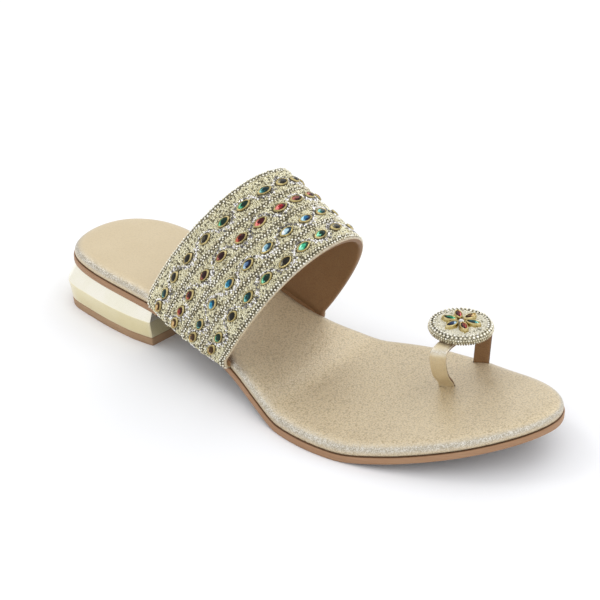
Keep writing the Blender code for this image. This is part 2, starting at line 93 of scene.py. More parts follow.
def closedCurve(points, perSpan):
    n = len(points)
    after = np.roll(points, -1, axis=0)
    span = np.linalg.norm(after - points, axis=1)
    slope = (after - points) / span[:, None]
    system = np.zeros((n, n))
    for k in range(n):
        system[k, k - 1] += span[k - 1]
        system[k, k] += 2 * (span[k - 1] + span[k])
        system[k, (k + 1) % n] += span[k]
    bend = np.linalg.solve(system, 6 * (slope - np.roll(slope, 1, axis=0)))
    t = np.linspace(0, 1, perSpan, endpoint=False)[:, None]
    return np.vstack([splineSpan(t, points[k], after[k], bend[k], bend[(k + 1) % n], span[k])
                      for k in range(n)])


def openCurve(points, first, last, count):
    # first and last are the directions at the ends
    n = len(points)
    place = runOf(points)
    span = np.diff(place)
    slope = np.diff(points, axis=0) / span[:, None]
    system = np.zeros((n, n))
    pull = np.zeros(points.shape)
    system[0, :2] = 2 * span[0], span[0]
    system[-1, -2:] = span[-1], 2 * span[-1]
    pull[0] = 6 * (slope[0] - first)
    pull[-1] = 6 * (last - slope[-1])
    for k in range(1, n - 1):
        system[k, k - 1:k + 2] = span[k - 1], 2 * (span[k - 1] + span[k]), span[k]
        pull[k] = 6 * (slope[k] - slope[k - 1])
    bend = np.linalg.solve(system, pull)
    s = np.linspace(0, place[-1], count)
    k = np.clip(np.searchsorted(place, s, side="right") - 1, 0, n - 2)
    t = ((s - place[k]) / span[k])[:, None]
    return splineSpan(t, points[k], points[k + 1], bend[k], bend[k + 1], span[k][:, None])


def levelCurve(rows, place):
    # height at each place, smooth and without overshoot between the rows
    known, value = np.array(rows, float).T
    span = np.diff(known)
    rise = np.diff(value) / span
    slope = np.concatenate([rise[:1], np.zeros(len(rows) - 2), rise[-1:]])
    for k in range(1, len(rows) - 1):
        if rise[k - 1] * rise[k] > 0:
            early = 2 * span[k] + span[k - 1]
            late = span[k] + 2 * span[k - 1]
            slope[k] = (early + late) / (early / rise[k - 1] + late / rise[k])
    place = np.clip(place, known[0], known[-1])
    k = np.clip(np.searchsorted(known, place, side="right") - 1, 0, len(span) - 1)
    u = (place - known[k]) / span[k]
    ends = (1 + 2 * u) * (1 - u) ** 2 * value[k] + u * u * (3 - 2 * u) * value[k + 1]
    return ends + (u * (1 - u) ** 2 * slope[k] - u * u * (1 - u) * slope[k + 1]) * span[k]


def evenPath(path, count):
    run = runOf(path)
    s = np.linspace(0, run[-1], count)
    return np.stack([np.interp(s, run, path[:, k]) for k in range(path.shape[1])], axis=1)


def smoothStep(x):
    x = np.clip(x, 0, 1)
    return x * x * (3 - 2 * x)


outerPoints = [(outer, station) for station, outer, inner in sole["plan"]]
innerPoints = [(inner, station) for station, outer, inner in reversed(sole["plan"])]
planPoints = [(sole["heelTipX"], 0)] + outerPoints + [(sole["toeTipX"], sole["length"])] + innerPoints
plan = closedCurve(np.array(planPoints, float), sole["planSteps"])
planAhead = np.roll(plan, -1, axis=0) - np.roll(plan, 1, axis=0)
planNormal = unit(np.stack([planAhead[:, 1], -planAhead[:, 0]], axis=1))
heelTip = int(plan[:, 1].argmin())
toeTip = int(plan[:, 1].argmax())


def planSide(stations, outer):
    # place and outward normal on one side of the sole's plan
    first, last = (heelTip, toeTip) if outer else (toeTip, heelTip)
    around = np.arange(first, last + (0 if last > first else len(plan)) + 1) % len(plan)
    index = around if outer else around[::-1]
    line, normal = plan[index], planNormal[index]
    place = np.stack([np.interp(stations, line[:, 1], line[:, 0]), stations], axis=-1)
    across = [np.interp(stations, line[:, 1], normal[:, k]) for k in (0, 1)]
    return place, unit(np.stack(across, axis=-1))


def underside(station):
    return levelCurve(sole["underside"], station)


def insoleBase(station):
    return float(underside(np.float64(station))) + sole["outsoleThick"] + sole["gap"]


# The shoe frame stands over the CAD frame so that both outsole plans share a middle.
outsoleLow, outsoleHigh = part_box("outsole")
planOuter = plan + planNormal * sole["outsoleProud"]
planMiddle = (planOuter.min(axis=0) + planOuter.max(axis=0)) / 2
boxMiddle = (outsoleLow + outsoleHigh) / 2
shift = np.array([boxMiddle.x - planMiddle[0] / 1000, boxMiddle.y - planMiddle[1] / 1000, 0])


def makePiece(name, shape, materials, faceSlot=None, sharp=0, tone=None, merge=0.0, replaced=(),
              slot=None):
    # shape is points in millimetres and faces; sharp is the angle of a kept edge, 0 for flat facets
    points, faces = shape
    mesh = bpy.data.meshes.new(name)
    mesh.from_pydata((np.asarray(points, float) / 1000 + shift).tolist(), [], faces)
    for material in materials:
        mesh.materials.append(material)
    if faceSlot is not None:
        mesh.polygons.foreach_set("material_index", np.asarray(faceSlot, np.int32))
    if tone is not None:
        layer = mesh.attributes.new("tone", "FLOAT", "FACE")
        layer.data.foreach_set("value", np.asarray(tone, np.float32))
    if merge:
        work = bmesh.new()
        work.from_mesh(mesh)
        bmesh.ops.remove_doubles(work, verts=work.verts, dist=merge / 1000)
        bmesh.ops.dissolve_degenerate(work, edges=work.edges, dist=merge / 1000)
        work.to_mesh(mesh)
        work.free()
    mesh.update()
    if sharp:
        mesh.shade_smooth()
        mesh.set_sharp_from_angle(angle=math.radians(sharp))
    piece = bpy.data.objects.new(name, mesh)
    scene.collection.objects.link(piece)
    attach(piece, "root")
    if replaced:
        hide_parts(*replaced)
    return piece


hexRow = 0.866  # distance between the rows of a triangular grid, for a pitch of 1


def tubeFaces(rows, cols):
    # quads of a tube: rows of closed rings with cols points each
    k, j = np.meshgrid(np.arange(rows - 1), np.arange(cols), indexing="ij")
    after = (j + 1) % cols
    quads = np.stack([k * cols + j, k * cols + after, (k + 1) * cols + after, (k + 1) * cols + j], axis=-1)
    return quads.reshape(-1, 4).tolist()


def stackedRings(rings):
    # a closed body from rings of equal length, one after the other, with flat ends
    rings = np.asarray(rings, float)
    rows, cols = rings.shape[:2]
    ends = [list(range(cols))[::-1], list(range((rows - 1) * cols, rows * cols))]
    return rings.reshape(-1, 3), tubeFaces(rows, cols) + ends


def joinShapes(shapes):
    points, faces = [], []
    for shapePoints, shapeFaces in shapes:
        first = sum(len(p) for p in points)
        points.append(shapePoints)
        faces += [tuple(v + first for v in face) for face in shapeFaces]
    return np.vstack(points), faces


def turns(count, offset=0.0):
    return (np.arange(count) + offset) * 2 * math.pi / count


def circle(radius, z, angles):
    return np.column_stack([np.cos(angles) * radius, np.sin(angles) * radius, np.full(len(angles), z)])


def icosahedron():
    g = (1 + 5 ** 0.5) / 2
    corners = [(-1, g, 0), (1, g, 0), (-1, -g, 0), (1, -g, 0), (0, -1, g), (0, 1, g), (0, -1, -g),
               (0, 1, -g), (g, 0, -1), (g, 0, 1), (-g, 0, -1), (-g, 0, 1)]
    faces = [(0, 11, 5), (0, 5, 1), (0, 1, 7), (0, 7, 10), (0, 10, 11), (1, 5, 9), (5, 11, 4), (11, 10, 2),
             (10, 7, 6), (7, 1, 8), (3, 9, 4), (3, 4, 2), (3, 2, 6), (3, 6, 8), (3, 8, 9), (4, 9, 5),
             (2, 4, 11), (6, 2, 10), (8, 6, 7), (9, 8, 1)]
    return unit(np.array(corners, float)), faces


def roundBead(sides, bands):
    # a round bead with its poles across the thread
    rings = [circle(math.sin(turn), -math.cos(turn), turns(sides))
             for turn in (math.pi * b / bands for b in range(1, bands))]
    points = np.vstack([[(0, 0, -1)], *rings, [(0, 0, 1)]])
    faces = []
    for j in range(sides):
        after = (j + 1) % sides
        last = 1 + (bands - 2) * sides
        faces += [(0, 1 + after, 1 + j), (len(points) - 1, last + j, last + after)]
        for here in range(1, last, sides):
            faces.append((here + j, here + after, here + sides + after, here + sides + j))
    return points, faces


def cutStone(n, levels):
    # a cut stone from four levels of radius, height and turn: wall, two rows of facets and a table
    points = np.vstack([circle(radius, z, turns(n, offset)) for radius, z, offset in levels])
    faces = []
    for j in range(n):
        after = (j + 1) % n
        faces += [(j, after, n + after, n + j), (n + j, n + after, 2 * n + j),
                  (n + after, 2 * n + after, 2 * n + j), (2 * n + j, 2 * n + after, 3 * n + after),
                  (2 * n + j, 3 * n + after, 3 * n + j)]
    return points, faces + [tuple(range(3 * n, 4 * n))]


grainShape = icosahedron()
beadShape = roundBead(8, 5)
crystalShape = cutStone(8, [(0.92, -0.5, 0), (1.0, 0.1, 0), (0.8, 0.5, 0.5), (0.5, 0.72, 0)])


def scatter(name, shape, batch, material, slot, sharp=0):
    # one piece of many small copies; batch holds places, frames (rows x, y, z), sizes and tones
    corners, faces = shape
    places, frames, sizes, tones = batch
    points = np.einsum("nvk,nkd->nvd", corners[None] * sizes[:, None, :], frames) + places[:, None, :]
    lists, faceTones = [], []
    for size in sorted({len(face) for face in faces}):
        same = np.array([face for face in faces if len(face) == size])
        moved = same[None] + (np.arange(len(places)) * len(corners))[:, None, None]
        lists += moved.reshape(-1, size).tolist()
        faceTones.append(np.repeat(tones, len(same)))
    makePiece(name, (points.reshape(-1, 3), lists), [material], sharp=sharp, tone=np.concatenate(faceTones),
              slot=slot)


def joinBatches(batches):
    return [np.concatenate(parts) for parts in zip(*batches)]


def spun(frames, angles):
    # the same frames turned about their own z
    c, s = np.cos(angles)[:, None], np.sin(angles)[:, None]
    return np.stack([frames[:, 0] * c + frames[:, 1] * s, frames[:, 1] * c - frames[:, 0] * s, frames[:, 2]],
                    axis=1)


def spunOne(frame, angle):
    return spun(frame[None], np.array([angle]))[0]


def jostled(frames, amount):
    tilt = luck.normal(0, amount, (len(frames), 3))
    return unit(frames + np.cross(tilt[:, None, :], frames))


def placed(points, spot, axes):
    return np.asarray(points) @ axes + spot


def marquise(length, width, perSide, fullness=0.4):
    # outline of a pointed oval, anticlockwise, one point at each tip; fullness rounds it towards an ellipse
    radius = (length ** 2 + width ** 2) / (4 * width)
    half = math.asin(min(1.0, length / 2 / radius))
    turn = np.linspace(half, -half, perSide + 1)[:-1]
    x, pointed = radius * np.sin(turn), radius * np.cos(turn) - radius + width / 2
    oval = width / 2 * np.sqrt(np.clip(1 - (2 * x / length) ** 2, 0, 1))
    arc = np.stack([x, pointed + (oval - pointed) * fullness], axis=1)
    return np.vstack([arc, -arc])


def feedSocket(tree, socket, value):
    # a socket takes another node's output, a colour or a plain value
    if isinstance(value, bpy.types.NodeSocket):
        tree.links.new(value, socket)
    else:
        socket.default_value = (*value, 1.0) if socket.type == "RGBA" else value


def feed(tree, sockets, **values):
    # _ stands for the space in a socket's label
    for label, value in values.items():
        feedSocket(tree, sockets[label.replace("_", " ")], value)


def addNode(tree, kind, *parts, settings=(), **values):
    # parts feed the first sockets in turn, values the named ones
    node = tree.nodes.new("ShaderNode" + kind)
    for key, value in dict(settings).items():
        setattr(node, key, value)
    for socket, part in zip(node.inputs, parts):
        feedSocket(tree, socket, part)
    feed(tree, node.inputs, **values)
    return node.outputs


def mathNode(tree, operation, *parts, clamp=False):
    return addNode(tree, "Math", *parts, settings={"operation": operation, "use_clamp": clamp})[0]


def vectorMath(tree, operation, *parts, **values):
    return addNode(tree, "VectorMath", *parts, settings={"operation": operation}, **values)[0]


def times(tree, first, *others):
    for other in others:
        first = mathNode(tree, "MULTIPLY", first, other)
    return first


def scaled(tree, mask, amount, base):
    # base where the mask is dark, base and amount where it is full
    return mathNode(tree, "MULTIPLY_ADD", mask, amount, base)


mixSockets = {"RGBA": (6, 2), "VECTOR": (4, 1)}  # first of the two mixed inputs, result


def mixNode(tree, kind, factor, a, b):
    node = tree.nodes.new("ShaderNodeMix")
    node.data_type = kind
    first, result = mixSockets[kind]
    for k, value in ((0, factor), (first, a), (first + 1, b)):
        feedSocket(tree, node.inputs[k], value)
    return node.outputs[result]


def colorMix(tree, factor, a, b):
    return mixNode(tree, "RGBA", factor, a, b)


def ramp(tree, factor, stops, smooth=False):
    # each stop is a place and a grey or a colour
    node = tree.nodes.new("ShaderNodeValToRGB")
    feedSocket(tree, node.inputs[0], factor)
    node.color_ramp.interpolation = "EASE" if smooth else "LINEAR"
    marks = node.color_ramp.elements
    while len(marks) < len(stops):
        marks.new(0.5)
    for mark, (spot, color) in zip(marks, stops):
        mark.position = spot
        mark.color = (*np.broadcast_to(color, 3), 1.0)
    return node.outputs[0]


def objectPlace(tree):
    return addNode(tree, "TexCoord")["Object"]


def noise(tree, scale, where=None, **values):
    where = objectPlace(tree) if where is None else where
    return addNode(tree, "TexNoise", Vector=where, Scale=scale, **values)


def newGroup(name, inputs, outputs):
    group = bpy.data.node_groups.new(name, "ShaderNodeTree")
    for label, value in inputs.items():
        kind = "NodeSocketColor" if isinstance(value, tuple) else "NodeSocketFloat"
        group.interface.new_socket(name=label, in_out="INPUT", socket_type=kind).default_value = value
    for label, kind in outputs.items():
        group.interface.new_socket(name=label, in_out="OUTPUT", socket_type="NodeSocket" + kind)
    return group, group.nodes.new("NodeGroupInput").outputs, group.nodes.new("NodeGroupOutput").inputs


def makeFineGrain():
    # pebbled skin of a coated leather: height and the dark of the creases between its pebbles
    group, start, end = newGroup("fineGrain", {"Pebbles per metre": 1500.0, "Softness": 0.4},
                                 {"Height": "Float", "Crease": "Float"})
    pebbles, softness = start["Pebbles per metre"], start["Softness"]
    # a push of up to 1.6 mm keeps the pebbles from lying in rows
    pushed = vectorMath(group, "SCALE", noise(group, 260, Detail=3)["Color"], Scale=0.0016)
    bent = vectorMath(group, "ADD", objectPlace(group), pushed)
    cells = addNode(group, "TexVoronoi", settings={"feature": "SMOOTH_F1"}, Vector=bent, Scale=pebbles,
                    Smoothness=0.6)["Distance"]
    fine = noise(group, times(group, pebbles, 0.6), bent, Detail=5, Roughness=0.65)["Fac"]
    dome = mathNode(group, "SUBTRACT", 1.0, cells)
    soft = times(group, dome, mathNode(group, "SUBTRACT", 1.0, softness))
    feed(group, end, Height=mathNode(group, "ADD", soft, times(group, fine, softness)),
         Crease=ramp(group, cells, [(0.35, 0.0), (0.75, 1.0)]))
    return group


def makeMetalFlake():
    # tiny flakes that each lie at their own angle: a mask, a random tone and the tilted normal
    group, start, end = newGroup("metalFlake", {"Flakes per metre": 2500.0, "Tilt": 0.3, "Share": 0.2},
                                 {"Mask": "Float", "Tone": "Float", "Normal": "Vector"})
    cells = addNode(group, "TexVoronoi", Vector=objectPlace(group), Scale=start["Flakes per metre"])["Color"]
    parts = addNode(group, "SeparateColor", cells)
    edge = mathNode(group, "SUBTRACT", 1.0, start["Share"])
    centred = vectorMath(group, "SUBTRACT", cells, (0.5, 0.5, 0.5))
    tilted = vectorMath(group, "ADD", addNode(group, "NewGeometry")["Normal"],
                        vectorMath(group, "SCALE", centred, Scale=start["Tilt"]))
    feed(group, end, Tone=parts[0], Mask=mathNode(group, "GREATER_THAN", parts[1], edge),
         Normal=vectorMath(group, "NORMALIZE", tilted))
    return group


def makeSoftMottle():
    # slow drift between two colours, as in every dyed or coated skin
    white = (1.0, 1.0, 1.0, 1.0)
    inputs = {"Color A": white, "Color B": white, "Patches per metre": 40.0}
    group, start, end = newGroup("softMottle", inputs, {"Color": "Color", "Drift": "Float"})
    clouds = noise(group, start["Patches per metre"], Detail=4, Roughness=0.6)["Fac"]
    drift = ramp(group, clouds, [(0.32, 0.0), (0.68, 1.0)], smooth=True)
    feed(group, end, Drift=drift, Color=colorMix(group, drift, start["Color A"], start["Color B"]))
    return group


def makeEdgeRub():
    # where edges and corners have lost a little of their coat
    group, start, end = newGroup("edgeRub", {"Sharpness": 0.5}, {"Mask": "Float"})
    raised = ramp(group, addNode(group, "NewGeometry")["Pointiness"], [(0.5, 0.0), (0.6, 1.0)])
    uneven = times(group, raised, noise(group, 500, Detail=3)["Fac"])
    feed(group, end, Mask=mathNode(group, "MULTIPLY", uneven, start["Sharpness"], clamp=True))
    return group


def makeRollPaintedSheen():
    # where the skin is drawn over a rolled edge it stretches and shows more of its metal; the mask, taken
    # from how far a face turns from upright, also carries a greyer painted reflection
    group, start, end = newGroup("rollPaintedSheen", {"Level": 0.975, "Steep": 0.76}, {"Mask": "Float"})
    up = addNode(group, "SeparateXYZ", addNode(group, "TexCoord")["Normal"])["Z"]
    span = mathNode(group, "SUBTRACT", start["Level"], start["Steep"])
    risen = mathNode(group, "DIVIDE", mathNode(group, "SUBTRACT", start["Level"], up), span, clamp=True)
    # the lower skirt of the roll is smooth again, and the painted reflection fades there, leaving it paler
    feed(group, end, Mask=times(group, risen, ramp(group, up, [(0.02, 0.15), (0.5, 1.0)])))
    return group


def makeSeatFade():
    # the skin lies smooth over the heel seat and shows its full grain from the arch forward
    group, start, end = newGroup("seatFade", {"Arch": -0.1, "Ball": 0.025}, {"Mask": "Float"})
    along = addNode(group, "SeparateXYZ", objectPlace(group))["Y"]
    span = mathNode(group, "SUBTRACT", start["Ball"], start["Arch"])
    share = mathNode(group, "DIVIDE", mathNode(group, "SUBTRACT", along, start["Arch"]), span, clamp=True)
    feed(group, end, Mask=ramp(group, share, [(0.25, 0.22), (0.5, 0.7), (1.0, 1.0)]))
    return group


def makePaintedHollowShade():
    # painted shade: ambient occlusion darkens the hollows, broken by noise
    group, start, end = newGroup("paintedHollowShade", {"Reach": 0.004}, {"Mask": "Float"})
    hollow = addNode(group, "AmbientOcclusion", settings={"samples": 4}, Distance=start["Reach"])["AO"]
    deep = ramp(group, hollow, [(0.2, 1.0), (0.85, 0.0)])
    feed(group, end, Mask=times(group, deep, noise(group, 900)["Fac"]))
    return group


groups = {group.name: group for group in (makeFineGrain(), makeMetalFlake(), makeSoftMottle(), makeEdgeRub(),
                                          makeRollPaintedSheen(), makeSeatFade(), makePaintedHollowShade())}
print("shader groups made")


def newMaterial(name, **values):
    material = bpy.data.materials.new(name)
    material.use_nodes = True
    skin = material.node_tree.nodes["Principled BSDF"].inputs
    feed(material.node_tree, skin, **values)
    return material, material.node_tree, skin


def useGroup(tree, name, **values):
    return addNode(tree, "Group", settings={"node_tree": groups[name]}, **values)


def bump(tree, height, depth, **values):
    # depth in millimetres
    return addNode(tree, "Bump", Distance=depth / 1000, Height=height, **values)[0]


def hollowShadeMask(tree, reach, amount):
    # painted shade in the hollows; reach in millimetres
    return times(tree, useGroup(tree, "paintedHollowShade", Reach=reach / 1000)["Mask"], amount)


def leatherette(name, look):
    # metallic coated leatherette: satin where it lies flat, sparkling over rolled edges, with a silvery
    # painted reflection there
    material, tree, skin = newMaterial(name, Metallic=look["metallic"], Specular_IOR_Level=0.5,
                                       Coat_Weight=look["coat"], Coat_Roughness=look["coatRoughness"])
    mottle = useGroup(tree, "softMottle", Color_A=look["color"], Color_B=look["second"],
                      Patches_per_metre=look["patches"])
    grain = useGroup(tree, "fineGrain", Pebbles_per_metre=look["pebbles"], Softness=look["softness"])
    flake = useGroup(tree, "metalFlake", Flakes_per_metre=look["flakes"], Tilt=look["tilt"],
                     Share=look["share"])
    glints = useGroup(tree, "metalFlake", Flakes_per_metre=look["flakes"] / 2, Tilt=look["tilt"],
                      Share=look["glintShare"])
    # mask of the rolled edges, which take the greyer painted reflection
    roll = useGroup(tree, "rollPaintedSheen")["Mask"]
    fade = useGroup(tree, "seatFade")["Mask"]
    color = mottle["Color"]
    for mask, tint in ((times(tree, grain["Crease"], look["crease"], fade), "deep"),
                       (times(tree, roll, look["paintedSheenShare"]), "paintedSheenColor"),
                       (times(tree, flake["Mask"], look["spark"], fade), "flakeColor"),
                       (times(tree, glints["Mask"], look["rollSpark"], roll), "flakeColor"),
                       (useGroup(tree, "edgeRub", Sharpness=look["rub"])["Mask"], "flakeColor")):
        color = colorMix(tree, mask, color, look[tint])
    lean = flake["Normal"]
    if look["rollMetal"]:
        feed(tree, skin, Metallic=scaled(tree, roll, look["rollMetal"], look["metallic"]))
        share = scaled(tree, roll, 1.0 - look["flatTilt"], look["flatTilt"])
        lean = mixNode(tree, "VECTOR", share, addNode(tree, "NewGeometry")["Normal"], glints["Normal"])
    feed(tree, skin, Base_Color=color,
         Roughness=scaled(tree, grain["Height"], look["roughSpread"], look["roughness"]),
         Normal=bump(tree, times(tree, grain["Height"], fade), look["relief"], Normal=lean))
    return material


champagneLook = {
    "color": (0.655, 0.533, 0.336), "second": (0.675, 0.553, 0.356), "deep": (0.45, 0.355, 0.21),
    "flakeColor": (0.90, 0.87, 0.80), "metallic": 0.3, "roughness": 0.35, "roughSpread": 0.16,
    "coat": 0.15, "coatRoughness": 0.35, "patches": 45.0, "pebbles": 1500.0, "softness": 0.45, "crease": 1.0,
    "relief": 0.2, "rub": 0.1, "flakes": 6500.0, "tilt": 0.7, "flatTilt": 0.25, "share": 0.3, "spark": 0.2,
    "glintShare": 0.4,
    # over the rolled edges: colour and share of the painted reflection, then sparkle and metal
    "paintedSheenColor": (0.43, 0.385, 0.30), "paintedSheenShare": 0.9, "rollSpark": 0.55, "rollMetal": 0.7,
}
# on the ring strip the rolled-edge colour is a paler painted highlight on its shoulders
stripLook = dict(champagneLook, color=(0.75, 0.625, 0.39), second=(0.78, 0.655, 0.42), metallic=0.5,
                 roughness=0.26, coat=0.3, relief=0.02, crease=0.2, tilt=0.12, flatTilt=0.6,
                 paintedSheenColor=(0.58, 0.525, 0.42), paintedSheenShare=0.7, rollSpark=0.45, rollMetal=0.2)
liningLook = dict(champagneLook, color=(0.245, 0.126, 0.048), second=(0.275, 0.148, 0.06),
                  deep=(0.12, 0.062, 0.028), flakeColor=(0.40, 0.26, 0.14), metallic=0.0, roughness=0.45,
                  coat=0.05, pebbles=2200.0, crease=0.4, flakes=4000.0, tilt=0.03, share=0.1, spark=0.1,
                  relief=0.03, paintedSheenColor=(0.2, 0.1, 0.05), paintedSheenShare=0.0, rollSpark=0.0, rollMetal=0.0)
champagne = leatherette("champagneLeatherette", champagneLook)
ringLeather = leatherette("ringLeatherette", stripLook)
lining = leatherette("brownLining", liningLook)


boardEdge = {"patches": 70.0, "softness": 0.7, "stretch": (60, 60, 2600), "layerRelief": 0.6,
             "roughSpread": 0.2, "hollowShade": 0.7, "hollowShadeReach": 3.0}


def makeSoleLeather(name, color, second, deep, hollowShadeTint, pebbles, streaks, roughness, relief):
    # cut edge of a pressed sole board: fine layers along the edge, with painted shade darkening its hollows
    material, tree, skin = newMaterial(name, Specular_IOR_Level=0.4)
    mottle = useGroup(tree, "softMottle", Color_A=color, Color_B=second,
                      Patches_per_metre=boardEdge["patches"])
    grain = useGroup(tree, "fineGrain", Pebbles_per_metre=pebbles, Softness=boardEdge["softness"])["Height"]
    stretched = addNode(tree, "Mapping", Vector=objectPlace(tree), Scale=boardEdge["stretch"])[0]
    layers = noise(tree, 1.0, stretched)["Fac"]
    streaked = times(tree, ramp(tree, layers, [(0.38, 0.0), (0.62, 1.0)]), streaks)
    hollowShade = hollowShadeMask(tree, boardEdge["hollowShadeReach"], boardEdge["hollowShade"])
    layerRelief = times(tree, layers, boardEdge["layerRelief"])
    feed(tree, skin, Base_Color=colorMix(tree, hollowShade, colorMix(tree, streaked, mottle["Color"], deep), hollowShadeTint),
         Roughness=scaled(tree, grain, boardEdge["roughSpread"], roughness),
         Normal=bump(tree, mathNode(tree, "ADD", layerRelief, grain), relief))
    return material


# colour, second colour, deep streaks, painted shade in the hollows, pebbles per metre, streaks, roughness,
# relief
soleLooks = {
    "tanSoleLeather": ((0.36, 0.198, 0.102), (0.395, 0.228, 0.125), (0.29, 0.152, 0.076), (0.14, 0.07, 0.035),
                       1900.0, 0.45, 0.42, 0.03),
    # the seam's colour is painted shade for the gap between outsole and insole
    "seamPaintedShade": ((0.15, 0.082, 0.045), (0.17, 0.095, 0.055), (0.12, 0.065, 0.035), (0.04, 0.02, 0.012),
                1900.0, 0.3, 0.5, 0.02),
    "soleTread": ((0.085, 0.05, 0.03), (0.10, 0.06, 0.037), (0.06, 0.035, 0.02), (0.03, 0.016, 0.01),
                  900.0, 0.2, 0.55, 0.12),
    "edgePaint": ((0.12, 0.062, 0.03), (0.14, 0.075, 0.038), (0.10, 0.05, 0.024), (0.05, 0.025, 0.012),
                  2600.0, 0.2, 0.4, 0.01),
    "topLiftRubber": ((0.375, 0.232, 0.128), (0.42, 0.27, 0.155), (0.30, 0.18, 0.095), (0.18, 0.10, 0.06),
                      2600.0, 0.5, 0.5, 0.02),
}
soleLeather, seamPaintedShade, soleTread, edgePaint, liftRubber = [makeSoleLeather(name, *look)
                                                          for name, look in soleLooks.items()]


heelCoat = {"metallic": 0.85, "coat": 0.6, "coatRoughness": 0.08, "patches": 60.0, "rub": 0.9,
            "rubColor": (0.93, 0.87, 0.70), "haze": 1500, "hazeDepth": 0.002, "roughness": 0.1,
            "roughSpread": 0.1}


def makeHeelGold(name, first, second):
    # metallised heel: satin mirror with faint polishing haze
    material, tree, skin = newMaterial(name, Metallic=heelCoat["metallic"], Coat_Weight=heelCoat["coat"],
                                       Coat_Roughness=heelCoat["coatRoughness"])
    mottle = useGroup(tree, "softMottle", Color_A=first, Color_B=second,
                      Patches_per_metre=heelCoat["patches"])
    rub = useGroup(tree, "edgeRub", Sharpness=heelCoat["rub"])["Mask"]
    haze = noise(tree, heelCoat["haze"], Detail=3)["Fac"]
    feed(tree, skin, Base_Color=colorMix(tree, rub, mottle["Color"], heelCoat["rubColor"]),
         Roughness=scaled(tree, haze, heelCoat["roughSpread"], heelCoat["roughness"]),
         Normal=bump(tree, haze, heelCoat["hazeDepth"]))
    return material


heelGold = makeHeelGold("goldHeel", (0.73, 0.645, 0.375), (0.77, 0.69, 0.43))
# a paler copy of the heel gold for the upper storey: painted highlight
heelGoldPaintedHighlight = makeHeelGold("goldHeelPaintedHighlight", (0.88, 0.84, 0.68), (0.92, 0.88, 0.76))


def toneOf(tree):
    # the tone that each small piece carries on its faces
    return addNode(tree, "Attribute", settings={"attribute_name": "tone"})["Fac"]


smallBeads = {"coatRoughness": 0.05, "flakes": 3000.0, "share": 0.3, "drift": 0.12, "hollowShadeReach": 1.2,
              "hollowShadeColor": (0.10, 0.085, 0.05)}


def toned(name, stops, metallic, roughness, coat=0.0, tilt=0.0, hollowShadeShare=0.5):
    # a finish whose colour follows each bead's own tone, with painted shade in the hollows between beads
    material, tree, skin = newMaterial(name, Metallic=metallic, Roughness=roughness, Coat_Weight=coat,
                                       Coat_Roughness=smallBeads["coatRoughness"])
    flake = useGroup(tree, "metalFlake", Flakes_per_metre=smallBeads["flakes"], Tilt=tilt,
                     Share=smallBeads["share"])
    drifted = scaled(tree, flake["Tone"], smallBeads["drift"], toneOf(tree))
    base = ramp(tree, mathNode(tree, "SUBTRACT", drifted, smallBeads["drift"] / 2, clamp=True), stops)
    hollowShade = hollowShadeMask(tree, smallBeads["hollowShadeReach"], hollowShadeShare)
    feed(tree, skin, Base_Color=colorMix(tree, hollowShade, base, smallBeads["hollowShadeColor"]), Normal=flake["Normal"])
    return material


grainFinish = toned("zariGrains", [(0.0, (0.085, 0.07, 0.035)), (0.3, (0.36, 0.315, 0.19)),
                                   (0.6, (0.74, 0.675, 0.42)), (1.0, (0.98, 0.945, 0.72))],
                    metallic=0.45, roughness=0.3, tilt=0.2, hollowShadeShare=0.25)
beadFinish = toned("champagneBeads", [(0.0, (0.09, 0.08, 0.05)), (0.35, (0.48, 0.42, 0.27)),
                                      (0.7, (0.78, 0.73, 0.56)), (1.0, (0.97, 0.95, 0.86))],
                   metallic=0.8, roughness=0.2, coat=0.5, tilt=0.05)
sugarFinish = toned("sugarGrains", [(0.0, (0.14, 0.13, 0.085)), (0.3, (0.46, 0.43, 0.31)),
                                    (0.6, (0.80, 0.755, 0.59)), (1.0, (0.95, 0.92, 0.79))],
                    metallic=0.25, roughness=0.25, tilt=0.2, hollowShadeShare=0.3)
silverFinish = toned("silverBeads", [(0.0, (0.045, 0.042, 0.04)), (0.35, (0.28, 0.26, 0.25)),
                                     (0.7, (0.73, 0.69, 0.67)), (1.0, (0.97, 0.955, 0.935))],
                     metallic=0.7, roughness=0.12, coat=0.4, tilt=0.08)


glitterCloth = {"metallic": 0.45, "roughness": 0.42, "flakes": 2600.0, "tilt": 0.7, "share": 0.5,
                "middle": (0.45, 0.6), "weave": 2400, "relief": 0.12}


def makeGlitterCloth(name, light, dark):
    # cloth under the beadwork: fine metal flakes on a woven ground
    material, tree, skin = newMaterial(name, Metallic=glitterCloth["metallic"],
                                       Roughness=glitterCloth["roughness"])
    flake = useGroup(tree, "metalFlake", Flakes_per_metre=glitterCloth["flakes"],
                     Tilt=glitterCloth["tilt"], Share=glitterCloth["share"])
    middle, dimmed = glitterCloth["middle"]
    stops = [(0.0, dark), (middle, tuple(dimmed * c for c in light)), (1.0, light)]
    weave = noise(tree, glitterCloth["weave"])["Fac"]
    feed(tree, skin, Base_Color=ramp(tree, flake["Tone"], stops),
         Normal=bump(tree, weave, glitterCloth["relief"], Normal=flake["Normal"]))
    return material


darkThread = makeGlitterCloth("darkThread", (0.26, 0.23, 0.14), (0.06, 0.05, 0.028))
zariCloth = makeGlitterCloth("zariCloth", (0.56, 0.515, 0.36), (0.11, 0.095, 0.052))
silverGlitter = makeGlitterCloth("silverGlitter", (0.90, 0.88, 0.79), (0.50, 0.47, 0.38))


brass = {"patches": 420.0, "hollowShadeReach": 1.5, "hollowShade": 0.8, "hollowShadeColor": (0.16, 0.09, 0.03),
         "roughness": 0.18, "roughSpread": 0.15}


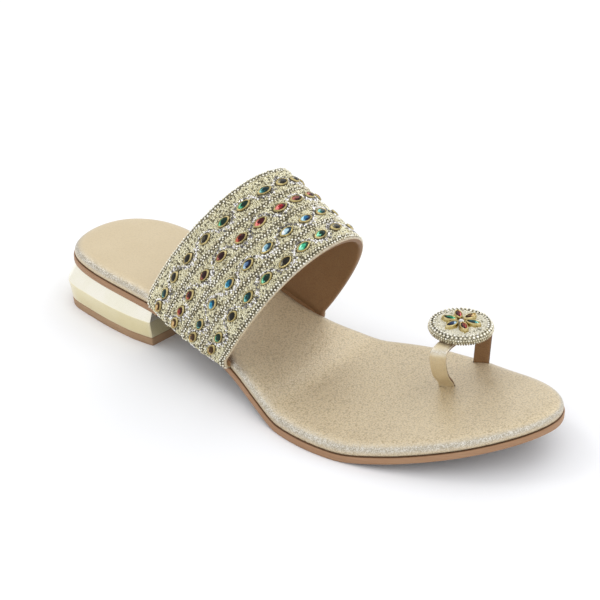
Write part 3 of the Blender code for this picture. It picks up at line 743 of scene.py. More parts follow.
def makeSettingGold(name, dull, bright):
    # brass of the stone settings, dull in patches, brown with age and with painted shade in its hollows
    material, tree, skin = newMaterial(name, Metallic=1.0)
    mottle = useGroup(tree, "softMottle", Color_A=dull, Color_B=bright, Patches_per_metre=brass["patches"])
    hollowShade = hollowShadeMask(tree, brass["hollowShadeReach"], brass["hollowShade"])
    feed(tree, skin, Base_Color=colorMix(tree, hollowShade, mottle["Color"], brass["hollowShadeColor"]),
         Roughness=scaled(tree, mottle["Drift"], brass["roughSpread"], brass["roughness"]))
    return material


settingGold = makeSettingGold("settingGold", (0.50, 0.40, 0.17), (0.72, 0.60, 0.31))
agedGold = makeSettingGold("agedGold", (0.34, 0.27, 0.11), (0.66, 0.545, 0.265))
# a dark finish for the foot of each setting's wall: painted shade round the setting
settingFootPaintedShade = newMaterial("settingFootPaintedShade", Metallic=0.6, Roughness=0.45, Base_Color=(0.085, 0.065, 0.035))[0]

# foiled glass stones: the depth, then the painted flash at the lit end and the pale painted spark on it
stoneColors = {
    "emerald": ((0.004, 0.022, 0.014), (0.0, 0.30, 0.13), (0.30, 0.85, 0.55)),
    "teal": ((0.004, 0.022, 0.024), (0.01, 0.20, 0.19), (0.35, 0.80, 0.72)),
    "smoky": ((0.012, 0.010, 0.006), (0.07, 0.06, 0.035), (0.45, 0.42, 0.30)),
    "jade": ((0.004, 0.06, 0.03), (0.02, 0.42, 0.20), (0.35, 0.88, 0.60)),
    "maroon": ((0.022, 0.004, 0.004), (0.11, 0.02, 0.018), (0.50, 0.16, 0.12)),
    "azure": ((0.004, 0.016, 0.045), (0.02, 0.20, 0.42), (0.60, 0.90, 1.0)),
    "garnet": ((0.028, 0.003, 0.003), (0.34, 0.02, 0.012), (0.85, 0.25, 0.16)),
    "ruby": ((0.05, 0.002, 0.004), (0.62, 0.02, 0.03), (0.95, 0.35, 0.30)),
    "aqua": ((0.004, 0.035, 0.07), (0.02, 0.36, 0.58), (0.62, 0.92, 0.98)),
    "navy": ((0.004, 0.008, 0.028), (0.02, 0.075, 0.21), (0.55, 0.78, 0.95)),
    "ice": ((0.015, 0.045, 0.07), (0.26, 0.52, 0.62), (0.92, 0.98, 1.0)),
    "amber": ((0.05, 0.022, 0.004), (0.42, 0.20, 0.04), (0.92, 0.70, 0.34)),
    "crystal": ((0.42, 0.42, 0.42), (0.80, 0.80, 0.80), (1.0, 1.0, 1.0)),
}


stoneGlass = {"metallic": 0.3, "roughness": 0.05, "specular": 0.3, "clouds": 900, "uneven": 0.3,
              "depthEnd": 0.42, "flashAt": 0.64}


def makeStone(name, depth, flash, spark):
    material, tree, skin = newMaterial(name + "Stone", Metallic=stoneGlass["metallic"],
                                       Roughness=stoneGlass["roughness"],
                                       Specular_IOR_Level=stoneGlass["specular"])
    uneven = scaled(tree, noise(tree, stoneGlass["clouds"])["Fac"], stoneGlass["uneven"], toneOf(tree))
    tone = mathNode(tree, "SUBTRACT", uneven, stoneGlass["uneven"] / 2, clamp=True)
    stops = [(0.0, depth), (stoneGlass["depthEnd"], depth), (stoneGlass["flashAt"], flash), (1.0, spark)]
    feed(tree, skin, Base_Color=ramp(tree, tone, stops))
    return material


stones = {name: makeStone(name, *colors) for name, colors in stoneColors.items()}
print("materials made")

edgeRoll = {
    "stations": 150, "profileSteps": 20, "acrossTop": 20, "acrossFloor": 12, "merge": 0.02,
    "crown": 0.35, "crownWidth": 40, "crownShape": 0.7,
    # inset from the plan and rise over the outsole, from the lower edge to the top face
    "profile": [(1.2, 0.0), (0.5, 0.04), (0.1, 0.5), (0.0, 1.3), (0.3, 2.55), (1.35, 3.8), (3.2, 4.72),
                (5.8, 5.2)],
    # inset and rise round the outsole's lower edge, which the upper edge mirrors, and up its wall
    "outsoleEdge": [(0.9, 0.0), (0.5, 0.0), (0.2, 0.1), (0.05, 0.28), (0.0, 0.5)],
    "outsoleWall": [(0.0, 1.1), (0.0, 1.9)],
    # where the strap presses the edge in: side, first and last station, depth at each
    "pressed": [(True, 65.0, 118.2, 1.5, 0.2), (False, 74.6, 123.7, 0.2, 0.2)],
    "pressMargin": 1.2, "pressRun": 1.6, "pressSteps": (-1.2, -0.4, 0.4, 1.2),
    "ends": ((-1.0, 0.0), (1.0, 0.05)),  # directions of the profile at its ends
}


def ringStations(count):
    turn = np.linspace(0, math.pi, count + 1)
    first, last = plan[heelTip, 1], plan[toeTip, 1]
    evenly = first + (last - first) * (1 - np.cos(turn)) / 2
    # close together where the strap's edges press in
    edges = [step[k] for step in edgeRoll["pressed"] for k in (1, 2)]
    return np.union1d(evenly, np.add.outer(edges, edgeRoll["pressSteps"]).ravel())


def soleRing(stations, inset, rise, pressed=False):
    # heel tip first, up the outer side, back down the inner side
    outer, outerNormal = planSide(stations, True)
    inner, innerNormal = planSide(stations[1:-1][::-1], False)
    ring, normal = np.vstack([outer, inner]), np.vstack([outerNormal, innerNormal])
    onOuter = np.arange(len(ring)) < len(outer)
    extra = np.zeros(len(ring))
    y, margin, over = ring[:, 1], edgeRoll["pressMargin"], edgeRoll["pressRun"]
    for side, first, last, deepFirst, deepLast in edgeRoll["pressed"]:
        share = smoothStep((y - first + margin) / over) * smoothStep((last + margin - y) / over)
        deep = deepFirst + (deepLast - deepFirst) * (y - first) / (last - first)
        extra += pressed * share * deep * (onOuter == side)
    ring = ring - normal * (inset + extra)[:, None]
    return np.column_stack([ring, underside(ring[:, 1]) + rise])


def rungGrid(ring, across, crown):
    # points and faces that fill a sole ring from side to side
    count, half = len(ring), len(ring) // 2
    outer, inner = ring[1:half], ring[half + 1:][::-1]
    s = np.linspace(0, 1, across + 1)[None, :, None]
    grid = outer[:, None] * (1 - s) + inner[:, None] * s
    wide = smoothStep(np.linalg.norm(outer - inner, axis=1) / edgeRoll["crownWidth"])
    grid[:, :, 2] += crown * wide[:, None] * (4 * s * (1 - s))[0, :, 0][None] ** edgeRoll["crownShape"]
    rows, cols = grid.shape[:2]
    index = np.empty((rows, cols), int)
    index[:, 0] = np.arange(1, half)
    index[:, -1] = count - np.arange(1, half)
    index[:, 1:-1] = count + np.arange(rows * (cols - 2)).reshape(rows, cols - 2)
    faces = [(index[k, j], index[k + 1, j], index[k + 1, j + 1], index[k, j + 1])
             for k in range(rows - 1) for j in range(cols - 1)]
    for j in range(cols - 1):
        faces += [(0, index[0, j], index[0, j + 1]), (half, index[-1, j + 1], index[-1, j])]
    return grid[:, 1:-1].reshape(-1, 3), faces


def soleBody(name, rings, across, crown, materials, **rest):
    # the edge from its rings, then the top face and the face on the floor; a second material paints shade
    # along the seam at the top of the edge, and a third covers the floor side
    count = len(rings[0])
    points, faces = np.vstack(rings), tubeFaces(len(rings), count)
    edgeCount = len(faces)
    for ring, first, rise, order in ((rings[-1], len(points) - count, crown, 1), (rings[0], 0, 0, -1)):
        inside, cap = rungGrid(ring, across, rise)
        offset = len(points) - count
        faces += [tuple(v + (first if v < count else offset) for v in face)[::order] for face in cap]
        points = np.vstack([points, inside])
    faceSlot = np.zeros(len(faces), int)
    if len(materials) > 1:
        # painted shade: the dark seam stands in for the shaded gap under the insole's roll
        faceSlot[edgeCount - count:edgeCount] = 1
        faceSlot[-len(cap):] = 2
    return makePiece(name, (points, faces), materials, faceSlot=faceSlot, merge=edgeRoll["merge"], **rest)


stations = ringStations(edgeRoll["stations"])
proud, thick, seatRise = sole["outsoleProud"], sole["outsoleThick"], sole["outsoleThick"] + sole["gap"]
lowerEdge = edgeRoll["outsoleEdge"]
upperEdge = [(inset, thick - rise) for inset, rise in reversed(lowerEdge)]
outsoleRings = [soleRing(stations, inset - proud, rise)
                for inset, rise in lowerEdge + edgeRoll["outsoleWall"] + upperEdge]
soleBody("outsoleBoard", outsoleRings, edgeRoll["acrossFloor"], 0, [soleLeather, seamPaintedShade, soleTread],
         sharp=50, replaced=["outsole"], slot="tan_sole")

profile = openCurve(np.array(edgeRoll["profile"]), *edgeRoll["ends"], edgeRoll["profileSteps"])
insoleRings = [soleRing(stations, inset, seatRise + rise, pressed=True) for inset, rise in profile]
insole = soleBody("insoleCover", insoleRings, edgeRoll["acrossTop"], edgeRoll["crown"], [champagne], sharp=60,
                  replaced=["insole"], slot="champagne_leatherette")
print("sole made")

heel = {
    "liftHeight": 4.0, "ridgeHeight": 12.7, "points": 150, "breastPoints": 24, "axisX": -2.6, "turn": 4.2,
    "seatInset": 0.4, "seatBreast": 67.6, "back": 3.0, "breast": 68.0,
    "ridgeFlare": 1.4, "liftFlare": -0.1, "floorFlare": -0.4,
    "chamfer": 0.5, "chamferStep": (0.3, 0.2), "curvePoints": 600, "seatStep": 0.4,
    "footInset": 0.6, "seatTuck": (0.8, 0.05),
    # shares of the way up the lower storey, the upper storey and the top lift
    "lower": (0.03, 0.3, 0.65, 0.98), "upper": (0.025, 0.3, 0.65, 0.97), "lift": (0.3, 0.6, 0.93),
    # inset and height round the lift's lower edge, insets of its top
    "liftFloor": [(0.5, 0), (0.1, 0.02), (0, 0.3)], "liftTop": (0.15, 0.9),
    # run from the back, half width
    "plan": [(67.5, 28.1), (59.0, 29.6), (50.0, 30.2), (38.0, 30.1), (24.0, 29.1), (12.6, 26.6), (6.8, 20.0),
             (3.9, 10.0)],
    "ends": ((-0.17, -0.98), (-0.17, 0.98)),  # directions of the sides where they meet the breast
}
heelTurn = math.radians(heel["turn"])


def withBreast(path, run):
    # a small chamfer at both corners, then an even row of points along the breast
    path = evenPath(path, heel["points"])
    cut = heel["chamfer"]
    out, aside = heel["chamferStep"]
    first, last = path[0], path[-1]
    ahead, back = unit(last - first), unit(first - last)
    path = np.vstack([first + run, first + run * out + ahead * cut * aside, path[1:-1],
                      last + run * out + back * cut * aside, last + run])
    path[0] += ahead * cut
    path[-1] += back * cut
    s = np.linspace(0, 1, heel["breastPoints"] + 2)[1:-1, None]
    return np.vstack([path, path[-1] * (1 - s) + path[0] * s])


def heelRing(flare, height):
    inner = [(-half, run) for run, half in heel["plan"]]
    outer = [(half, run) for run, half in reversed(heel["plan"])]
    path = openCurve(np.array(inner + [(0, heel["back"])] + outer), *heel["ends"], heel["curvePoints"])
    ahead = unit(np.gradient(path, axis=0))
    path = path + flare * np.stack([ahead[:, 1], -ahead[:, 0]], axis=1)
    across, run = withBreast(path, np.array([0, heel["breast"] - heel["plan"][0][0]])).T
    x = heel["axisX"] + across * math.cos(heelTurn) + run * math.sin(heelTurn)
    y = run * math.cos(heelTurn) - across * math.sin(heelTurn)
    return np.column_stack([x, y, np.full(len(x), height)])


def seatRing(inset, drop):
    line = np.roll(plan - inset * planNormal, len(plan) // 2 - heelTip, axis=0)
    run = line[:, 1] * math.cos(heelTurn) + (line[:, 0] - heel["axisX"]) * math.sin(heelTurn)
    step = heel["seatStep"]
    path = withBreast(line[run < heel["seatBreast"] - step],
                      step * np.array([math.sin(heelTurn), math.cos(heelTurn)]))
    return np.column_stack([path, underside(path[:, 1]) - sole["gap"] - drop])


def fannedBody(name, rings, materials, bands=(), **rest):
    # a closed body from rings, its ends fanned round their middles; bands gives the slot of each storey
    rings = np.asarray(rings)
    rows, cols = rings.shape[:2]
    points = np.vstack([rings.reshape(-1, 3), rings[0].mean(axis=0), rings[-1].mean(axis=0)])
    faces = tubeFaces(rows, cols)
    low, high, top = rows * cols, rows * cols + 1, (rows - 1) * cols
    for j in range(cols):
        after = (j + 1) % cols
        faces += [(low, after, j), (high, top + j, top + after)]
    faceSlot = np.zeros(len(faces), int)
    faceSlot[:len(bands) * cols] = np.repeat(bands, cols)
    return makePiece(name, (points, faces), materials, faceSlot=faceSlot, **rest)


footHeight = heel["liftHeight"] + sole["gap"]
foot, ridge = heelRing(0, footHeight), heelRing(heel["ridgeFlare"], heel["ridgeHeight"])
seat = seatRing(heel["seatInset"], 0)
tuckIn, tuckUp = heel["seatTuck"]
blockRings = [heelRing(-heel["footInset"], footHeight), foot]
blockRings += [foot * (1 - t) + ridge * t for t in heel["lower"]]
blockRings += [ridge * (1 - t) + seat * t for t in heel["upper"]]
blockRings += [seat, seatRing(heel["seatInset"] + tuckIn, -tuckUp)]
# the upper storey takes the paler copy of the gold, a painted highlight of the light it faces
fannedBody("heelBlock", blockRings, [heelGold, heelGoldPaintedHighlight], bands=[0, 0, 0, 0, 0, 0, 1, 1, 1, 1, 0], sharp=12,
           replaced=["heel_block"], slot="gold_heel")

low, high = heel["floorFlare"], heel["liftFlare"]
liftLevels = [(low - inset, height) for inset, height in heel["liftFloor"]]
liftLevels += [(low + (high - low) * t, heel["liftHeight"] * t) for t in heel["lift"]]
liftLevels += [(high - inset, heel["liftHeight"]) for inset in heel["liftTop"]]
fannedBody("topLift", [heelRing(*level) for level in liftLevels], [liftRubber], sharp=35,
           replaced=["heel_top_lift"], slot="top_lift_brown")
print("heel made")

strap = {
    "thick": 2.6, "tail": 8.0, "bend": 2.8, "upright": 4.4, "bow": 3.5, "bowShape": 0.6, "leanShape": 0.93,
    # outer station, inner station, outer proud, inner proud, rise, lean, skew, square, bulge
    "rear": (65.2, 74.8, 1.2, 2.3, 62.3, 36.9, -3.3, 2.41, 1.0),
    "front": (118.0, 123.5, 2.2, 2.3, 53.2, 29.2, -4.0, 2.03, 5.0),
    "archSteps": 150, "acrossSteps": 60, "rowSteps": 260, "sectionSteps": 220,
    "rim": 0.5, "tape": 0.75, "tapeProud": 0.2, "tailSteps": 4, "bendSteps": 9,
    # the lining's round at both rims: distance in from the rim, height over the back
    "corner": [(0.0, 0.9), (0.12, 0.5), (0.4, 0.2), (0.9, 0.0)],
    # the tape's fold: place ahead of its rear edge, share of its full rise over the cloth
    "fold": [(-0.12, -0.1), (0.0, 0.7), (0.3, 1.0)],
    "roundSteps": 7, "clothSteps": 40, "clothMargin": 1.0, "liningSteps": 14, "liningMargin": 1.6,
    "seam": 0.12,
}


def strapFoot(station, proud, outer):
    spot = planSide(np.array([station]), outer)[0][0]
    return np.array([spot[0] + (proud if outer else -proud), station, insoleBase(station)])


def strapTail(spot, away):
    # the end of the strap: flat in under the insole, then bent upright
    flat = strap["tailSteps"]
    bend = np.linspace(0, math.pi / 2, strap["bendSteps"])
    across = spot[0] - away * strap["bend"] * (1 - np.sin(bend))
    rise = spot[2] + strap["bend"] * (1 - np.cos(bend))
    run = np.linspace(strap["tail"], strap["tail"] / flat, flat)
    across = np.concatenate([across[0] - away * run, across])
    rise = np.concatenate([np.full(flat, rise[0]), rise])
    return np.stack([across, np.full(len(rise), spot[1]), rise], axis=1)


def strapRow(share):
    # one line over the foot from tail to tail, share 0 at the rear rim and 1 at the front rim
    rear, front = np.array(strap["rear"]), np.array(strap["front"])
    rise, lean, skew, square, bulge = (rear + (front - rear) * share)[4:]
    feet = []
    for k, outer in enumerate((True, False)):
        ends = [strapFoot(rim[k], rim[2 + k], outer) for rim in (rear, front)]
        spot = ends[0] + (ends[1] - ends[0]) * share
        spot[2] = insoleBase(spot[1])
        spot[0] += strap["bow"] * abs(math.sin(math.pi * share)) ** strap["bowShape"] if outer else 0
        feet.append(spot)
    turn = np.linspace(0, math.pi, strap["archSteps"] + 1)[:, None]
    level = np.sign(np.cos(turn)) * np.abs(np.cos(turn)) ** (2 / square)
    lift = np.abs(np.sin(turn)) ** (2 / square)
    over = (feet[0] + feet[1]) / 2 + level * (feet[0] - feet[1]) / 2
    over[:, 0:1] += skew * lift + bulge * np.sin(2 * turn)
    over[:, 1:2] += lean * np.abs(np.sin(turn)) ** strap["leanShape"]
    over[:, 2:3] += rise * lift + strap["upright"]
    return np.vstack([strapTail(feet[0], 1), over, strapTail(feet[1], -1)[::-1]])


shares = np.linspace(0, 1, strap["acrossSteps"] + 1)
rows = np.stack([evenPath(strapRow(share), strap["rowSteps"]) for share in shares], axis=1)
strapAlong = unit(np.gradient(rows, axis=0))
strapNormal = unit(np.cross(unit(np.gradient(rows, axis=1)), strapAlong))
strapLength = runOf(rows[:, len(shares) // 2])[-1]
strapWidth = np.linalg.norm(np.diff(rows, axis=1), axis=2).sum(axis=1).mean()


def strapAt(run, across, height=0.0):
    # place and frame (along, across, normal) on the outer face; run and across in millimetres
    last = 1.001  # keeps the far end inside the last cell of the grid
    run, across = np.broadcast_arrays(np.asarray(run, float), np.asarray(across, float))
    i = np.clip(run / strapLength * (len(rows) - 1), 0, len(rows) - last)
    j = np.clip(across / strapWidth * (len(shares) - 1), 0, len(shares) - last)
    i0, j0 = i.astype(int), j.astype(int)
    u, v = (i - i0)[..., None], (j - j0)[..., None]

    def mixed(grid):
        return ((grid[i0, j0] * (1 - u) + grid[i0 + 1, j0] * u) * (1 - v)
                + (grid[i0, j0 + 1] * (1 - u) + grid[i0 + 1, j0 + 1] * u) * v)

    normal = unit(mixed(strapNormal))
    along = mixed(strapAlong)
    along = unit(along - normal * (along * normal).sum(axis=-1, keepdims=True))
    side = np.cross(normal, along)
    return mixed(rows) + normal * np.asarray(height)[..., None], np.stack([along, side, normal], axis=-2)


def strapSection():
    # closed outline of the strap's section: width from the rear rim, depth, and the slot of each step
    wide = strapWidth
    thick, rim, tape, proud, corner = [strap[key] for key in ("thick", "rim", "tape", "tapeProud", "corner")]
    turn = np.linspace(0, math.pi / 2, strap["roundSteps"])
    cloth = [(rim * (1 - math.cos(t)), rim * (1 - math.sin(t))) for t in turn]
    margin = strap["clothMargin"]
    cloth += [(w, 0.0) for w in np.linspace(rim + margin, wide - tape - margin, strap["clothSteps"])]
    # the folded tape along the front rim stands a little proud of the beaded cloth
    folded = [(wide - tape + ahead, -proud * share) for ahead, share in strap["fold"]]
    folded += [(wide - rim * (1 - math.sin(t)), rim * (1 - math.cos(t)) - proud * math.cos(t) ** 2)
               for t in turn[1:]]
    # the lining goes round the back
    lined = [(wide, rim + strap["seam"])] + [(wide - w, thick - deep) for w, deep in corner]
    margin = strap["liningMargin"]
    lined += [(w, thick) for w in np.linspace(wide - margin, margin, strap["liningSteps"])]
    lined += [(w, thick - deep) for w, deep in corner[::-1]]
    slots = [0] * (len(cloth) - 1) + [1] * (len(folded) + 1) + [2] * len(lined)
    return np.array(cloth + folded + lined), slots


section, sectionSlots = strapSection()
runs = np.linspace(0, strapLength, strap["sectionSteps"])
spots, frames = strapAt(runs[:, None], section[None, :, 0])
spots = spots - frames[..., 2, :] * section[None, :, 1, None]
strapBody = makePiece("strapBody", stackedRings(spots), [zariCloth, champagne, lining],
                      faceSlot=sectionSlots * (len(runs) - 1) + [2, 2], sharp=50, replaced=["instep_strap"],
                      slot="beaded_strap")
print("strap body made", round(strapLength, 1), round(strapWidth, 1))

beadwork = {
    "rowAcross": [9.5, 21.4, 32.8, 43.1],
    # stones of each row from the outer foot to just over the crown, the inner foot mirrors them
    "rowStones": [[16.0, 24.5, 35.0, 47.0, 59.5, 70.5, 81.0, 91.5, 101.0, 109.5, 118.0],
                  [15.5, 23.5, 34.0, 47.0, 59.0, 70.5, 80.5, 91.0, 100.0, 109.0, 118.0],
                  [16.0, 25.0, 38.5, 52.0, 64.0, 74.5, 85.0, 95.5, 105.5],
                  [16.8, 26.0, 40.5, 53.0, 64.5, 75.0, 85.0, 95.0, 105.0]],
    "rowColors": [
        ["amber", "teal", "smoky", "smoky", "smoky", "emerald", "emerald", "teal", "smoky", "smoky", "smoky"],
        ["amber", "garnet", "garnet", "maroon", "maroon", "garnet", "ruby", "ruby", "maroon", "maroon",
         "maroon"],
        ["amber", "teal", "aqua", "aqua", "navy", "ice", "ice", "azure", "teal"],
        ["amber", "emerald", "smoky", "teal", "emerald", "smoky", "jade", "emerald", "smoky"],
    ],
    "separators": [15.5, 27.1, 38.0], "tailBare": 9.0, "stoneGap": 7,
    # how far a hand-laid row drifts forwards: amount, run of its middle, spread; it fades near both rims
    "drift": [(0.95, 78, 15), (-0.45, 38, 15)], "rimFade": (4, 6),
    "stoneLength": 5.2, "stoneWidth": 2.6, "stoneOver": (0.25, 0.2), "stoneLevels": (0.95, 1.6),
    "settingLength": 7.2, "settingWidth": 3.95, "settingHeight": 1.3,
    "settingSink": -0.05, "settingTurn": 0.05,
    "chainHalf": 1.15, "edgeChain": 2.4,  # widths of the dark thread that the bead chains are couched on
}
stitches = {
    "pitch": 0.82, "jitter": 0.17, "margin": -0.3, "height": 0.10, "parts": 4,
    # width of one lane of the herringbone, turn of its stitches and spread of the turn, in radians
    "lane": 2.1, "turn": 0.85, "turnSpread": 0.35,
    # least and greatest half length, half width and half height
    "sizes": ((0.40, 0.60), (0.28, 0.38), (0.28, 0.42)),
    # share of dark stitches, then middle and spread of the dark and the light tones
    "tones": (0.2, (0.15, 0.1), (0.86, 0.14)),
}
silver = {
    "swing": 3.05, "swingShape": 0.75, "step": 1.2, "jitter": (0.12, 0.22), "size": (0.38, 0.60),
    # the second crystal beside the first: share, spread along, distance aside, size
    "second": 0.7, "secondAlong": 0.15, "secondAside": (0.8, 1.3), "secondSize": (0.32, 0.52),
    # reach and size of the ray beads behind the even stones and in front of the odd ones
    "rays": {-1: [(3.1, 0.42)], 1: [(3.15, 0.46), (4.15, 0.5)]}, "rayTurns": [-58, -30, 0, 30, 58],
    "rayShape": (1.3, 0.95), "margin": 0.15, "rims": (2.2, 3.5), "height": 0.35, "tilt": 0.16,
    "tones": (0.6, (0.92, 0.12), (0.2, 0.12)),
}
visible = (beadwork["tailBare"], strapLength - beadwork["tailBare"])  # the tails carry no beads


def wander(run):
    return sum(amount * np.exp(-((run - middle) / wide) ** 2) for amount, middle, wide in beadwork["drift"])


def awayFromRims(across):
    fade, front = beadwork["rimFade"]
    return smoothStep((across - fade) / fade) * smoothStep((strapWidth - front - across) / fade)


def stoneRuns(r):
    outer = beadwork["rowStones"][r]
    inner = [strapLength - run for run in outer if strapLength - run > outer[-1] + beadwork["stoneGap"]]
    return np.array(outer + inner[::-1])


stoneSpots = []  # run, across, stone name, row, index
for r, line in enumerate(beadwork["rowAcross"]):
    colors = beadwork["rowColors"][r]
    runs = stoneRuns(r)
    for k, run in enumerate(runs):
        name = colors[k] if k < len(colors) else colors[len(runs) - 1 - k]
        stoneSpots.append((run, line + wander(run), name, r, k))


def clearOfStones(run, across, margin):
    # True where a grain keeps clear of every stone's setting
    clear = np.ones(len(run), bool)
    long, wide = beadwork["settingLength"] / 2 + margin, beadwork["settingWidth"] / 2 + margin
    for x, y, *rest in stoneSpots:
        clear &= ((run - x) / long) ** 2 + ((across - y) / wide) ** 2 > 1
    return clear


def settingMesh(length, width, innerLength, innerWidth, height, perSide=14):
    # raised metal rim round a marquise stone: flared wall, thin rolled lip, seat inside
    rings = []
    for share, z in ((-0.16, -0.5), (-0.16, 0.12), (0.0, 0.22), (0.12, height * 0.5), (0.24, height * 0.78),
                     (0.45, height * 0.95), (0.65, height), (0.88, height * 0.95), (1.0, height * 0.8),
                     (1.0, 0.0)):
        long, wide = length + (innerLength - length) * share, width + (innerWidth - width) * share
        rings.append(np.column_stack([marquise(long, wide, perSide), np.full(2 * perSide, z)]))
    slots = np.repeat([1, 1, 1, 0, 0, 0, 0, 0, 0], 2 * perSide)  # the foot of the wall takes a dark finish, painted shade round the setting
    return np.asarray(rings).reshape(-1, 3), tubeFaces(len(rings), 2 * perSide), slots.tolist()


def faceTurn(points, face):
    x, y = np.asarray(points)[list(face), :2].T
    return float((x * np.roll(y, -1) - y * np.roll(x, -1)).sum())


def gemMesh(length, width, base, top, perSide=6):
    # cut marquise: pavilion edge, crown facets and a table
    crownWide, crownHigh, tableWide = 0.74, 0.68, 0.46
    girdle = marquise(length, width, perSide)
    crown = (np.roll(girdle, -1, axis=0) + girdle) / 2 * crownWide
    n = len(girdle)
    points = np.vstack([np.column_stack([ring, np.full(n, z)]) for ring, z in (
        (girdle, base), (crown, base + (top - base) * crownHigh), (girdle * tableWide, top))])
    faces = []
    for j in range(n):
        after, before = (j + 1) % n, (j - 1) % n
        faces += [(j, n + j, n + before), (j, after, n + j), (n + before, n + j, 2 * n + j),
                  (n + j, 2 * n + after, 2 * n + j)]
    faces.append(tuple(range(2 * n, 3 * n)))
    # anticlockwise seen from above
    return points, [face[::-1] if faceTurn(points, face) < 0 else face for face in faces]


# painted highlight: the flash and spark of each stone are painted into its facets' tones
paintedFlash = {
    # tone of a level facet, gains for its lean and for its place towards the lit end, random spread
    "tone": 0.36, "lean": 0.8, "end": 0.6, "endReach": 2.5, "spread": 0.17, "toward": (-0.8, 0.6),
    # how much brighter each stone's painted flash is
    "glow": {"aqua": 0.16, "ice": 0.26, "jade": 0.16, "ruby": 0.16, "azure": 0.08, "garnet": 0.04,
             "crystal": 0.3, "amber": 0.1, "smoky": -0.1},
}


def gemPaintedTones(shape, seed, toward, name=""):
    # painted flash of the foil on the facets that lean one way, the rest stays deep
    local = np.random.default_rng(seed)
    tones = []
    for face in shape[1]:
        p = np.asarray(shape[0])[list(face)]
        normal = np.cross(p[1] - p[0], p[2] - p[0])
        normal /= max(np.linalg.norm(normal), 1e-9)
        centre = p.mean(axis=0)
        lean = normal[0] * toward[0] + normal[1] * toward[1]
        end = centre[0] * toward[0] / paintedFlash["endReach"]
        lit = paintedFlash["tone"] + paintedFlash["glow"].get(name, 0) + paintedFlash["lean"] * lean + paintedFlash["end"] * end
        tones.append(lit + local.normal(0, paintedFlash["spread"]))
    return np.clip(tones, 0, 1).tolist()


longer, wider = beadwork["stoneOver"]
gemShape = gemMesh(beadwork["stoneLength"] + longer, beadwork["stoneWidth"] + wider, *beadwork["stoneLevels"])
settingPoints, settingFaces, settingSlots = settingMesh(
    beadwork["settingLength"], beadwork["settingWidth"], beadwork["stoneLength"], beadwork["stoneWidth"],
    beadwork["settingHeight"])
settings, gems, gemSlots, gemPaintedTone = [], [], [], []
for run, across, name, r, k in stoneSpots:
    spot, axes = strapAt(run, across, beadwork["settingSink"])
    turned = spunOne(axes, luck.normal(0, beadwork["settingTurn"]))
    settings.append((placed(settingPoints, spot, turned), settingFaces))
    gems.append((placed(gemShape[0], spot, turned), gemShape[1]))
    gemSlots += [list(stones).index(name)] * len(gemShape[1])
    gemPaintedTone += gemPaintedTones(gemShape, 100 * r + k, paintedFlash["toward"], name)
makePiece("strapSettings", joinShapes(settings), [agedGold, settingFootPaintedShade],
          faceSlot=settingSlots * len(stoneSpots), sharp=40, slot="gold_setting")
makePiece("strapStones", joinShapes(gems), list(stones.values()), faceSlot=gemSlots, tone=gemPaintedTone,
          slot="crystal")


def mixedTones(count, share, first, second):
    # a share of the copies takes the first tone and the rest the second, each as middle and spread
    picked = luck.random(count) < share
    return np.clip(np.where(picked, luck.normal(*first, count), luck.normal(*second, count)), 0.02, 1)


# ground of short metal-thread stitches: small uneven grains laid in a herringbone
pitch, jitter, frontLine = stitches["pitch"], stitches["jitter"], strapWidth - strap["tape"]
half, edge = beadwork["chainHalf"], beadwork["edgeChain"]
runList = np.arange(*visible, pitch * hexRow)
gridRun, gridAcross = np.meshgrid(runList, np.arange(0.5, frontLine - 0.2, pitch), indexing="ij")
gridAcross = gridAcross + (np.arange(len(runList)) % 2)[:, None] * pitch / 2
gridRun = (gridRun + luck.uniform(-jitter, jitter, gridRun.shape)).ravel()
gridAcross = gridAcross.ravel() + luck.uniform(-jitter, jitter, len(gridRun))
keep = (gridAcross > edge) & (gridAcross < frontLine - edge)
keep &= clearOfStones(gridRun, gridAcross, stitches["margin"])
for line in beadwork["separators"]:
    keep &= np.abs(gridAcross - line - wander(gridRun) * awayFromRims(gridAcross)) > half
gridRun, gridAcross = gridRun[keep], gridAcross[keep]
for part in range(stitches["parts"]):  # one piece for each quarter of the strap's length
    inPart = (gridRun / strapLength * stitches["parts"]).astype(int) == part
    run, across = gridRun[inPart], gridAcross[inPart]
    count = len(run)
    spots, frames = strapAt(run, across, stitches["height"])
    lane = np.floor(run / stitches["lane"]).astype(int) % 2
    lean = np.where(lane == 0, stitches["turn"], -stitches["turn"])
    frames = spun(frames, lean + luck.normal(0, stitches["turnSpread"], count))
    sizes = [luck.uniform(small, large, count) for small, large in stitches["sizes"]]
    tones = mixedTones(count, *stitches["tones"])
    batch = (spots, frames, np.stack(sizes, axis=1), tones)
    scatter(f"zariGround_{part + 1}", grainShape, batch, grainFinish, "beaded_strap")
    print("ground grains", part + 1, count)


